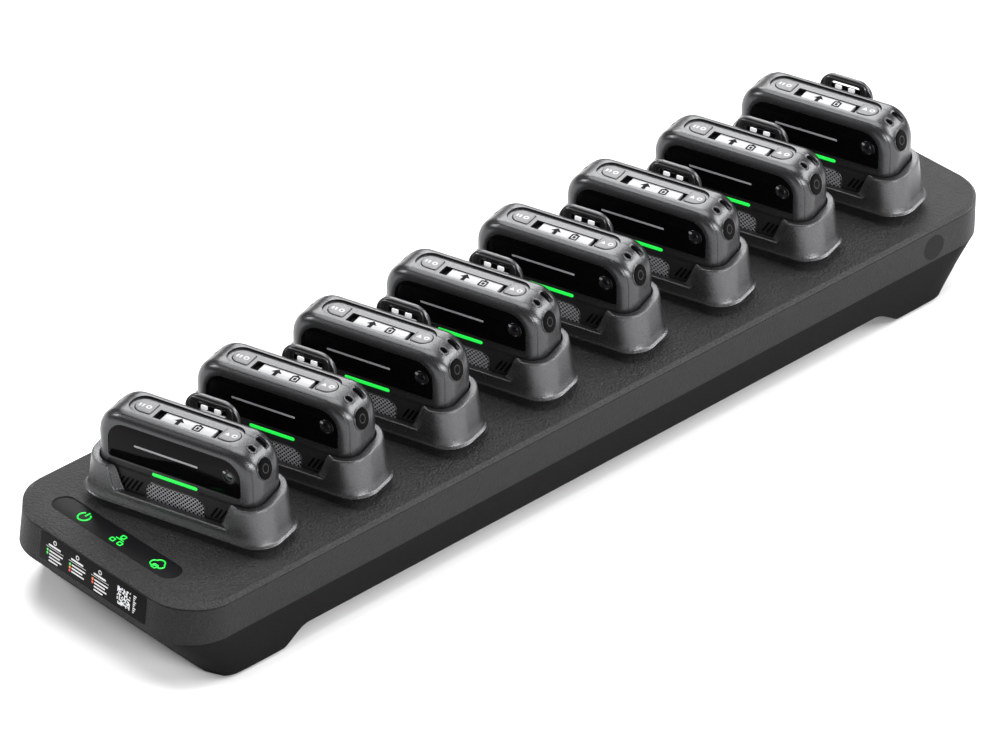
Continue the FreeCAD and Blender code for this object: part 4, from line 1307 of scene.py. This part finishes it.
@dataclass
class RadioUnit:
    """One body-worn unit, built once in its own axes and copied into every bay."""

    half: float = 41.4
    deep: float = 12.0
    top: float = 66.0
    plan_corner: float = 7.5
    shoulder: float = 4.5
    foot_edge: float = 1.0
    corner_top: float = 14.0
    corner_low: float = 6.0
    seams: tuple[float, float] = (-10.0, 3.5)
    window: tuple[float, float, float, float] = (-33.9, 33.9, 43.0, 61.3)
    lower_panel: tuple[float, float, float, float] = (-34.0, 34.0, 6.0, 42.2)
    bar: tuple[float, float, float, float] = (-11.5, 11.5, 39.8, 41.4)
    grille: tuple[float, float, float, float] = (-15.4, 15.4, 20.4, 36.4)
    camera: tuple[float, float] = (28.0, 52.9)
    mic: tuple[float, float] = (28.0, -2.5)
    sensor: tuple[float, float] = (31.0, 4.7)
    disc: tuple[float, float] = (71.0, -2.8)
    strap: tuple[float, float] = (-47.0, 1.0)
    front_cut: tuple[float, float] = (-14.0, -10.0)
    grooves: tuple[float, float] = (38.4, 39.15)
    slots: tuple[tuple[float, int], ...] = ((-32.6, 6), (17.6, 4))
    slot_pitch: float = 2.35
    slot_lean: float = 3.65
    slot_width: float = 1.25
    slot_heights: tuple[float, float] = (28.9, 34.8)
    recess: tuple[float, float, float, float] = (-29.2, 27.4, -6.3, 7.2)
    panel_top: float = 65.2
    display: tuple[float, float, float, float] = (-11.5, 14.5, -5.1, 1.7)
    sign_levels: tuple[float, float] = (64.7, 64.82)
    left_key: tuple[float, float, float, float] = (-26.6, -17.2, -4.1, 4.5)
    right_key: tuple[float, float, float, float] = (17.6, 26.3, -4.5, 4.4)
    clip: tuple[float, float, float, float] = (-13.2, 14.3, 36.0, 67.0)
    clip_depths: tuple[float, float] = (17.4, 19.8)
    pin: tuple[float, float] = (14.3, 54.0)
    meshes: dict[str, tuple[bpy.types.Mesh, Finish, str, float]] = field(default_factory=dict)

    def add(self, name: str, shape: Skin | bpy.types.Mesh, finish: Finish, node: str = "",
            angle: float = 30.0) -> None:
        """Keep one shape of the unit.

        Args:
            name: its name within the unit.
            shape: a skin or a finished mesh, in the unit's own axes.
            finish: the finish it takes.
            node: the CAD node of unit 1 that it stands for, if any.
            angle: edges sharper than this stay sharp, in degrees.
        """
        mesh = mesh_of(name, shape) if isinstance(shape, Skin) else shape
        self.meshes[name] = (mesh, finish, node, angle)

    def face(self) -> Outline:
        """Give the unit's outline seen from the front."""
        return box_outline(-self.half, self.half, 0.0, self.top, self.corner_low,
                           self.corner_top, steps=16).dense(4.0)

    def slice(self, front: float, back: float) -> Skin:
        """Give the part of the case between two depths.

        The case is the front outline carried in depth.  At a depth d below a face the outline
        is drawn in by R - sqrt(R^2 - (R - d)^2), where R is the plan corner on the sides, the
        shoulder on top and the foot edge below, blended by the squares of the normal's parts.

        Args:
            front: first depth.
            back: last depth.

        Returns:
            A closed skin.
        """
        face = self.face()
        across, up = face.normals[:, 0], face.normals[:, 1]
        radius = (self.plan_corner * across ** 2 + self.shoulder * np.maximum(up, 0) ** 2
                  + self.foot_edge * np.minimum(up, 0) ** 2)
        lean = 1 - np.cos(np.radians(np.linspace(0, 90, 12)))
        below = self.plan_corner * lean
        depths = np.r_[-self.deep + below, self.deep - below]
        depths = np.r_[front, depths[(depths > front) & (depths < back)], back]
        depths = np.unique(np.round(depths, 5))

        def ring(depth: float, extra: float) -> Array:
            """Give the case's ring at one depth, drawn in by a little more."""
            under = np.minimum(self.deep - abs(depth), radius)
            inset = radius - np.sqrt(np.maximum(radius ** 2 - (radius - under) ** 2, 0))
            return lift(face.inset(inset + extra), depth, Along.Y)

        gap = 0.14
        if front > -self.deep:
            rows = [ring(front + 0.03, gap), ring(front + 0.12, 0.02)]
        else:
            rows = [ring(front, 0.0)]
        rows += [ring(depth, 0.0) for depth in depths[1:-1]
                 if front + 0.15 < depth < back - 0.15 or abs(depth) > self.deep - 0.2]
        if back < self.deep:
            rows += [ring(back - 0.12, 0.02), ring(back - 0.03, gap)]
        else:
            rows.append(ring(back, 0.0))
        return rings(np.array(rows))

    def corner(self, skin: Skin, tilt: float, depth: float) -> Skin:
        """Set a skin on the rounded upper corner, its own Z along the normal.

        Args:
            skin: the skin, with its zero on the case's surface.
            tilt: the normal's angle from straight up, towards +X, in degrees.
            depth: its place in depth.

        Returns:
            The placed skin.
        """
        lean = math.radians(tilt)
        cosine, sine = math.cos(lean), math.sin(lean)
        turn = np.array([[cosine, 0, sine], [0, 1, 0], [-sine, 0, cosine]])
        side = math.copysign(self.half - self.corner_top, tilt)
        reach = self.corner_top
        shift = (side + reach * sine, depth, self.top - self.corner_top + reach * cosine)
        return skin.moved(turn, shift)

    def key_outline(self, left: bool, grow: float = 0.0) -> Outline:
        """Give a key's plan: round at the outer end and nearly square at the inner end.

        Args:
            left: whether it is the left key.
            grow: how far the plan is widened all round.

        Returns:
            The outline.
        """
        low_x, high_x, low_y, high_y = self.left_key if left else self.right_key
        broad, small = (high_y - low_y) / 2 - 0.1 + grow, 1.0 + grow
        first, second = (broad, small) if left else (small, broad)
        return rounded([(low_x - grow, low_y - grow, first), (high_x + grow, low_y - grow, second),
                        (high_x + grow, high_y + grow, second),
                        (low_x - grow, high_y + grow, first)])

    def wells(self) -> list[Skin]:
        """Give the cutters of the top recess, of the keys' wells and of the display's well."""
        seat = box_outline(*self.recess, 6.2)
        cutters = [slab(seat, self.panel_top - 1.2, self.top + 2, Along.Z, 0.02)]
        for side in (True, False):
            cutters.append(slab(self.key_outline(side, 0.5), 61.2, self.top, Along.Z, 0.02))
        left, right, low, high = self.display
        hole = box_outline(left - 4.2, right + 3.2, low - 0.3, high + 0.3, 0.6)
        cutters.append(slab(hole, 62.6, self.top, Along.Z, 0.02))
        return cutters

    def mic_hole(self) -> Outline:
        """Give the microphone's long round hole."""
        return box_about(1.85, 1.35, 1.3)

    def cases(self) -> None:
        """Make the front, middle and rear shells with every opening."""
        first, second = self.seams
        window = slab(box_outline(*self.window, 1.6, 9.1), -14.0, -11.35, Along.Y, 0.02)
        panel = slab(box_outline(*self.lower_panel, 3.0, 1.2), -14.0, -11.2, Along.Y, 0.02)
        front = carved("front_shell", self.slice(-self.deep, first), [window, panel])
        port, bore, frame, strap = (
            self.corner(slab(edge, depth, 2.0, Along.Z, 0.02), *place)
            for edge, depth, place in (
                (circle(0, 0, 2.75, 36), -0.9, self.mic),
                (self.mic_hole(), -2.6, self.mic),
                (box_about(3.7, 1.75, 0.8), -0.6, self.sensor),
                (box_about(2.6, 1.3, 0.7), -3.0, self.strap)))
        middle = carved("middle_shell", self.slice(first, second),
                        self.wells() + [port, bore, frame, strap])
        rear = carved("rear_shell", self.slice(second, self.deep), self.wells() + [frame])
        self.add("front_shell", front, SHELL, "radio_1_front_cover", 24.0)
        self.add("middle_shell", middle, SHELL, "radio_1_middle_housing", 24.0)
        self.add("rear_shell", rear, SHELL, "radio_1_rear_housing", 24.0)

    def front(self) -> None:
        """Make the window, its mark, the lower panel, light bar, grille and camera, with a painted
        highlight by the lens.
        """
        glass = box_outline(*grown(self.window, -0.22), 1.4, 8.9, 14)
        across, up = self.camera
        eye = slab(circle(across, up, 3.65, 40), -13.0, -10.0, Along.Y, 0.02)
        pane = slab(glass, -11.75, -11.0, Along.Y, 0.22)
        self.add("window", carved("window", pane, [eye]), WINDOW, "radio_1_front_window", 24.0)
        stroke = slab(box_outline(-20.6, 12.0, 51.6, 52.6, 0.45), -11.79, -11.7, Along.Y, 0.02)
        self.add("window_mark", stroke, INK)
        self.lower_front()
        lamp = slab(box_outline(*self.bar, 0.75), -12.05, -10.4, Along.Y, 0.25)
        self.add("light_bar", lamp, GREEN, "radio_1_light_bar", 60.0)
        barrel = collar(circle(across, up, 3.6, 48), circle(across, up, 2.7, 48), -11.95, -10.2,
                        Along.Y, 0.2, 48)
        self.add("camera_barrel", barrel, STEEL_DARK, "radio_1_camera_barrel", 40.0)
        lens = dome(circle(across, up, 2.68, 40), -10.0, -10.9, 0.7, Along.Y, 0.2)
        self.add("camera_lens", lens, LENS, "radio_1_camera_lens", 50.0)
        # A small light grey dome up and to the left of the lens: a painted highlight standing in
        # for the lens's reflection.
        glint = dome(circle(across - 2.4, up + 1.7, 0.75, 20), -11.6, -11.95, 0.12, Along.Y, 0.1)
        self.add("camera_painted_glint", glint, PAINTED_LENS_GLINT, "", 50.0)

    def lower_front(self) -> None:
        """Make the panel under the window with its slots, and the woven grille, with black sheets
        behind both as painted shade.
        """
        sheet = slab(box_outline(*grown(self.lower_panel, -0.12), 2.9, 1.1), -11.85, -11.22,
                     Along.Y, 0.2)
        cutters = [slab(box_outline(*grown(self.bar, 0.2), 0.9), *self.front_cut, Along.Y, 0.02)]
        for level in self.grooves:
            for start, end in ((-33.0, -12.4), (12.4, 33.0)):
                line = box_outline(start, end, level, level + 0.34, 0.1, steps=2)
                cutters.append(slab(line, *self.front_cut, Along.Y, 0.0, 1))
        mouth = box_outline(*self.grille, 5.0)
        cutters.append(slab(mouth, *self.front_cut, Along.Y, 0.02))
        bottom, top = self.slot_heights
        wide, lean = self.slot_width, self.slot_lean
        for start, count in self.slots:
            for foot in (start + self.slot_pitch * index for index in range(count)):
                slot = rounded([(foot, bottom, 0.3), (foot + wide, bottom, 0.3),
                                (foot + wide + lean, top, 0.3), (foot + lean, top, 0.3)], 3)
                cutters.append(slab(slot, *self.front_cut, Along.Y, 0.02))
        # A black sheet behind the slots and grooves: painted shade inside the openings.
        dark = slab(box_outline(-33.6, 33.6, 26.0, 41.9, 1.0), -11.24, -11.05, Along.Y, 0.02)
        self.add("slot_shade_sheet", dark, BLACK)
        self.add("lower_panel", carved("lower_panel", sheet, cutters), PANEL, "", 24.0)
        rim = collar(mouth, box_outline(*grown(self.grille, -0.6), 4.4), -12.1, -11.2, Along.Y,
                     0.18, 160)
        # A black sheet just behind the grille: painted shade between the wires.
        back = slab(box_outline(*grown(self.grille, -0.3), 4.7), -11.5, -11.2, Along.Y, 0.05)
        self.add("grille_shade_sheet", back, BLACK)
        self.add("grille_rim", rim, SHELL, "", 40.0)
        wires = self.weave(1) + self.weave(-1)
        self.add("grille_weave", wires, WEAVE, "radio_1_speaker_grille")

    def weave(self, side: int) -> Skin:
        """Give one layer of the grille's slanting wires.

        A wire is a straight run at 45 degrees whose ends are where it meets the rounded
        outline; its section is a flat diamond.  The runs come from sampling each line's
        distance to the outline, as whole arrays.

        Args:
            side: 1 or -1, the direction in which the wires lean.

        Returns:
            The wires.
        """
        pitch, half, thick = 1.45, 0.25, 0.16
        left, right, low, high = self.grille
        middle = np.array([(left + right) / 2, (low + high) / 2])
        room = np.array([(right - left) / 2, (high - low) / 2]) - 0.5
        radius = 4.5
        way = np.array([1.0, float(side)]) / math.sqrt(2)
        aside = np.array([-way[1], way[0]])
        reach = room.sum() / math.sqrt(2)
        offsets = np.arange(-reach + pitch / 2, reach, pitch)
        steps = np.linspace(-reach * 1.2, reach * 1.2, 900)
        points = offsets[:, None, None] * aside + steps[None, :, None] * way
        over = np.maximum(np.abs(points) - (room - radius), 0)
        inside = np.hypot(over[..., 0], over[..., 1]) < radius
        keep = inside.sum(1) > 12
        first = steps[inside.argmax(1)][keep]
        last = steps[inside.shape[1] - 1 - inside[:, ::-1].argmax(1)][keep]
        offsets = offsets[keep]
        depth = -11.72 - 0.06 * side
        section = np.array([(-half, 0.0), (0.0, -thick), (half, 0.0), (0.0, thick)])
        ends = np.stack([first, last], 1)
        flat = (middle + ends[:, :, None, None] * way
                + (offsets[:, None, None, None] + section[None, None, :, 0, None]) * aside)
        deep = np.broadcast_to(depth + section[:, 1], flat.shape[:3])
        rows = np.stack([flat[..., 0], deep, flat[..., 1]], -1)
        return together([rings(wire) for wire in rows])

    def crown(self) -> None:
        """Make the top panel, the display with its signs, and the fittings on the corners."""
        plate = slab(box_outline(*grown(self.recess, -0.15), 6.0), self.panel_top - 0.8,
                     self.panel_top, Along.Z, 0.12)
        cutters = [slab(self.key_outline(side, 0.28), 60.0, 70.0, Along.Z, 0.02)
                   for side in (True, False)]
        left, right, low, high = self.display
        cutters.append(slab(box_outline(left - 3.6, right + 2.5, low, high, 0.5), 60.0, 70.0,
                            Along.Z, 0.02))
        self.add("top_panel", carved("top_panel", plate, cutters), SHELL, "radio_1_top_panel",
                 24.0)
        floor = slab(box_outline(left - 3.8, right + 2.7, low - 0.2, high + 0.2, 0.5), 62.8,
                     63.2, Along.Z, 0.05)
        self.add("display_well", floor, BLACK)
        screen = slab(box_outline(left, right, low + 0.15, high - 0.15, 0.2), 63.1, 64.75,
                      Along.Z, 0.08)
        self.add("display", screen, PAPER, "radio_1_display")
        marks = [self.arrow(-3.6, -1.7), self.cell_sign(6.0, -1.5)]
        self.add("display_signs", together(marks), BLACK)
        ring = collar(circle(0, 0, 2.6, 40), self.mic_hole(), -0.85, 0.12, Along.Z, 0.14, 40)
        self.add("mic_ring", self.corner(ring, *self.mic), CUP, "radio_1_mic_ring", 40.0)
        # A black plug at the bottom of the microphone hole: painted shade that darkens the hole.
        shade_plug = self.corner(slab(box_about(2.0, 1.45, 1.4), -3.0, -1.6, Along.Z, 0.05),
                           *self.mic)
        self.add("mic_shade_plug", shade_plug, BLACK, "", 40.0)
        cell = self.corner(slab(box_about(3.0, 1.2, 1.0), -1.2, -0.42, Along.Z, 0.12),
                           *self.sensor)
        self.add("corner_sensor", cell, WINDOW, "radio_1_corner_sensor", 40.0)
        pad = self.corner(dome(circle(0, 0, 5.2, 48), -2.6, -0.05, 0.05, Along.Z, 0.5), *self.disc)
        self.add("disc_pad", pad, SHELL, "", 50.0)
        disc = self.corner(dome(circle(0, 0, 4.9, 48), -0.6, 0.28, 0.1, Along.Z, 0.3), *self.disc)
        self.add("side_disc", disc, DISC, "radio_1_side_disc", 40.0)
        mark = self.corner(collar(circle(0, 0, 2.2, 32), circle(0, 0, 1.7, 32), 0.3, 0.42,
                                  Along.Z, 0.04, 32), *self.disc)
        self.add("side_mark", mark, PANEL, "", 40.0)

    def arrow(self, across: float, along: float) -> Skin:
        """Give an upward arrow, flat on the display.

        Args:
            across: x of its middle.
            along: y of its middle.

        Returns:
            The sign.
        """
        edge = rounded([(across - 0.9, along - 2.6, 0.05), (across + 0.9, along - 2.6, 0.05),
                        (across + 0.9, along + 0.1, 0.01), (across + 2.5, along + 0.1, 0.05),
                        (across, along + 2.7, 0.05), (across - 2.5, along + 0.1, 0.05),
                        (across - 0.9, along + 0.1, 0.01)], 2)
        return slab(edge, *self.sign_levels, Along.Z, 0.0, 1)

    def cell_sign(self, across: float, along: float) -> Skin:
        """Give an upright cell with a short inner stroke, flat on the display.

        Args:
            across: x of its middle.
            along: y of its middle.

        Returns:
            The sign.
        """
        body = collar(box_outline(across - 2.0, across + 2.0, along - 2.7, along + 1.9, 0.6),
                      box_outline(across - 1.2, across + 1.2, along - 1.9, along + 1.1, 0.2),
                      *self.sign_levels, Along.Z, 0.01, 48)
        tip = slab(box_outline(across - 0.6, across + 0.6, along + 1.9, along + 2.5, 0.1),
                   *self.sign_levels, Along.Z, 0.01, 1)
        core = slab(box_outline(across - 0.6, across + 0.6, along - 1.3, along + 0.5, 0.1),
                    *self.sign_levels, Along.Z, 0.01, 1)
        return together([body, tip, core])

    def clip_meshes(self) -> None:
        """Make the rear clip, its rim, two glowing squares painted as glints, and the bracket with
        its pin.
        """
        left, right, low, high = self.clip
        near, far = self.clip_depths
        plate = slab(box_outline(left, right, low, high, 4.0, 8.0, 14), near, far, Along.Y, 0.7)
        hole = slab(box_outline(left + 6, right - 6, high - 8.5, high - 3.2, 2.0), near - 2,
                    far + 2, Along.Y, 0.02)
        self.add("clip_plate", carved("clip_plate", plate, [hole]), CLIP, "radio_1_rear_clip")
        rim = collar(box_outline(left + 2.6, right - 2.6, high - 11.5, high - 1.2, 3.0),
                     box_outline(left + 4.4, right - 4.4, high - 9.9, high - 2.8, 2.2),
                     near - 0.7, near + 0.3, Along.Y, 0.25, 96)
        depth, level = self.pin
        middle = (left + right) / 2
        round_end = circle(depth, level, 2.3, 28)
        knuckle = slab(round_end, middle - 6, middle + 6, Along.X, 0.3)
        arm = slab(box_outline(depth, near + 0.4, level - 1.5, level + 1.5, 0.2), middle - 6,
                   middle + 6, Along.X, 0.2)
        self.add("clip_rim", rim, CLIP, "", 40.0)
        self.add("clip_arm", knuckle + arm, CLIP)
        # Two small glowing white squares on the clip: painted glints.
        glints = [slab(box_outline(place - 1.6, place + 1.6, high - 7.2, high - 5.3, 0.3),
                       near + 0.5, near + 1.3, Along.Y, 0.1) for place in (-3.6, 3.3)]
        bridge = slab(box_outline(left + 5.6, right - 5.6, high - 7.8, high - 5.2, 0.3),
                      near + 1.1, near + 1.8, Along.Y, 0.1)
        self.add("clip_bridge", bridge, BLACK)
        self.add("clip_painted_glints", together(glints), GLINT)
        ears = []
        for side in (-1, 1):
            inner = middle + side * 8.5 - 2
            ears.append(slab(round_end, inner, inner + 4, Along.X, 0.3))
            ears.append(slab(box_outline(self.deep - 0.3, depth, level - 2.3, level + 2.3, 0.2),
                             inner, inner + 4, Along.X, 0.2))
        self.add("clip_bracket", together(ears), SHELL, "radio_1_clip_bracket")
        pin = slab(circle(depth, level, 1.0, 20), middle - 10.5, middle + 10.5, Along.X, 0.15)
        self.add("clip_pin", pin, STEEL, "radio_1_clip_pin", 40.0)

    def keys(self) -> dict[str, tuple[bpy.types.Mesh, bpy.types.Mesh]]:
        """Make the two keys and the white signs printed on them, which glow faintly as painted
        light.

        Returns:
            Cap mesh and sign mesh for each key.
        """
        made = {}
        levels = (KEY_TOP - 0.08, KEY_TOP)
        for name, left in (("left_key", True), ("right_key", False)):
            cap = dome(self.key_outline(left), 62.3, KEY_TOP - 0.12, 0.1, Along.Z, 0.35)
            low_x, high_x, low_y, high_y = self.left_key if left else self.right_key
            middle, along = (low_x + high_x) / 2, (low_y + high_y) / 2
            if left:
                edges = [box_outline(start, start + 1.0, along - 1.2, along + 1.2, 0.3)
                         for start in (middle - 3.2, middle - 1.6)]
            else:
                edges = [rounded([(middle - 3.2, along - 1.2, 0.2),
                                  (middle - 0.4, along - 1.2, 0.2),
                                  (middle - 1.8, along + 1.3, 0.2)], 3)]
            signs = [slab(edge, *levels, Along.Z, 0.02) for edge in edges]
            signs.append(collar(circle(middle + 1.8, along, 1.35, 24),
                                circle(middle + 1.8, along, 0.65, 24), *levels, Along.Z, 0.02,
                                24))
            made[name] = (mesh_of(name, cap), mesh_of(f"{name}_sign", together(signs)))
        return made

    def build(self, bays: Sequence[Bay]) -> None:
        """Stand a unit in every bay.

        Args:
            bays: the bays.
        """
        self.cases()
        self.front()
        self.crown()
        self.clip_meshes()
        keys = self.keys()
        for bay in bays:
            unit = f"radio_{bay.number}"
            for part, (mesh, finish, node, angle) in self.meshes.items():
                name = f"{unit}_{part}_skin"
                nodes = [node] if bay.number == 1 and node else []
                if bay.number > 1 and part == "front_shell":
                    nodes = [f"{unit}_housing"]
                on_clip = bay.number == 1 and part in CLIP_PARTS
                body = "radio_1_clip" if on_clip else unit
                piece(name, bay.place(mesh, name), finish, body, nodes, angle)
            for key, (cap, sign) in keys.items():
                body = f"{unit}_{key}_press"
                piece(f"{unit}_{key}_cap", bay.place(cap, f"{unit}_{key}_cap"), KEY, body,
                      [f"{unit}_{key}"], 30.0)
                piece(f"{unit}_{key}_sign", bay.place(sign, f"{unit}_{key}_sign"), KEY_SIGN, body,
                      [], 30.0)
            LOG.info("%s: %d pieces", unit, len(self.meshes) + 2 * len(keys))


# ------------------------------------------------------------------ carried-over CAD nodes


CARRIED = {
    "side_badge": BADGE,
    "foot_pads": RUBBER,
    "case_screws": STEEL,
    "main_board": BOARD,
    "contact_blocks": BLACK,
    "contact_strips": GOLD,
    "power_inlet": BLACK,
    "network_port": BLACK,
    "radio_1_battery": CELL,
    "radio_1_circuit_board": BOARD,
    "radio_1_speaker": BLACK,
    "radio_1_charge_contacts": GOLD,
    "radio_1_case_screws": STEEL,
}


def dress_frame(frame: dict[str, Any]) -> None:
    """Give every CAD node that stays its finish.

    Args:
        frame: the loaded frame.
    """
    for name, finish in CARRIED.items():
        node = frame["nodes"][name]
        for place in node.material_slots:
            place.material = material_of(finish)
        if not node.material_slots:
            node.data.materials.append(material_of(finish))
    LOG.info("carried over: %d nodes", len(CARRIED))


# ------------------------------------------------------------------ studio


@dataclass
class Studio:
    """Pale floor, soft lights and the camera."""

    eye: tuple[float, float, float] = (1.852, -1.754, 1.721)
    ahead: tuple[float, float, float] = (-0.6059, 0.5711, -0.5539)
    roll: float = 0.137
    lens: float = 243.75

    def camera(self) -> None:
        """Make the camera and use it."""
        data = bpy.data.cameras.new("camera")
        data.lens = self.lens
        data.sensor_width = 36.0
        data.clip_end = 50.0
        made = bpy.data.objects.new("camera", data)
        bpy.context.scene.collection.objects.link(made)
        facing = Vector(self.ahead).to_track_quat("-Z", "Y").to_matrix().to_4x4()
        turn = Matrix.Rotation(math.radians(self.roll), 4, "Z")
        made.matrix_world = Matrix.Translation(Vector(self.eye)) @ facing @ turn
        bpy.context.scene.camera = made

    def light(self, name: str, place: Sequence[float], size: tuple[float, float],
              power: float) -> None:
        """Hang a soft rectangular light that faces the dock.

        Args:
            name: the light's name.
            place: where it hangs.
            size: its width and height.
            power: its power in watts.
        """
        data = bpy.data.lights.new(name, "AREA")
        data.shape = "RECTANGLE"
        data.size, data.size_y = size
        data.energy = power
        made = bpy.data.objects.new(name, data)
        bpy.context.scene.collection.objects.link(made)
        made.location = place
        made.rotation_euler = (-Vector(place)).to_track_quat("-Z", "Y").to_euler()

    def floor(self) -> None:
        """Make the pale floor under the dock.

        The floor is a flat grid.
        """
        across = np.linspace(-9.0, 9.0, 25)
        along = np.linspace(-9.0, 9.0, 25)
        grid_x, grid_y = np.meshgrid(across, along, indexing="ij")
        points = np.stack([grid_x, grid_y, 0 * grid_x], -1).reshape(-1, 3)
        count = len(along)
        row, column = np.meshgrid(np.arange(len(across) - 1), np.arange(count - 1), indexing="ij")
        start = row * count + column
        quads = np.stack([start, start + count, start + count + 1, start + 1], -1).reshape(-1, 4)
        mesh = bpy.data.meshes.new("floor")
        mesh.from_pydata(points.tolist(), [], quads.tolist())
        made = bpy.data.objects.new("floor", mesh)
        bpy.context.scene.collection.objects.link(made)
        shader = Shader("pale_floor")
        cloud = shader.noise(2.0, 2.0)
        mesh.materials.append(shader.finish({
            "Base Color": shader.blend(cloud, (0.90, 0.90, 0.90), (0.93, 0.93, 0.93)),
            "Roughness": (cloud * 0.1 + 0.75).clamp(),
        }))

    def build(self) -> None:
        """Set up the whole studio."""
        self.floor()
        world = bpy.data.worlds.new("studio")
        world.use_nodes = True
        world.node_tree.nodes["Background"].inputs[0].default_value = (1.0, 1.0, 1.0, 1.0)
        world.node_tree.nodes["Background"].inputs[1].default_value = 0.17
        bpy.context.scene.world = world
        bpy.context.scene.view_settings.view_transform = "Standard"
        self.light("top_light", (-0.4, 0.4, 2.2), (2.0, 2.0), 66.0)
        self.light("far_left_light", (-1.4, 1.35, 1.25), (1.3, 0.8), 30.0)
        self.light("back_light", (1.1, 1.7, 1.2), (2.0, 0.6), 52.0)
        self.light("side_light", (2.2, -0.2, 0.8), (1.2, 0.5), 40.0)
        self.light("left_light", (-1.5, -1.35, 1.4), (1.0, 0.7), 30.0)


def main() -> None:
    """Build the studio, the dock, its pockets and its units."""
    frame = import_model()
    studio = Studio()
    studio.camera()
    studio.build()
    bays = find_bays()
    for bay in bays:
        LOG.info("bay %d: %.2f %.2f rest %.2f turn %.2f", bay.number, bay.across, bay.along,
                 bay.rest, math.degrees(bay.turn))
    dress_frame(frame)
    Dock(bays=bays).build()
    PocketCup().build(bays)
    RadioUnit().build(bays)


if __name__ == "__main__":
    main()
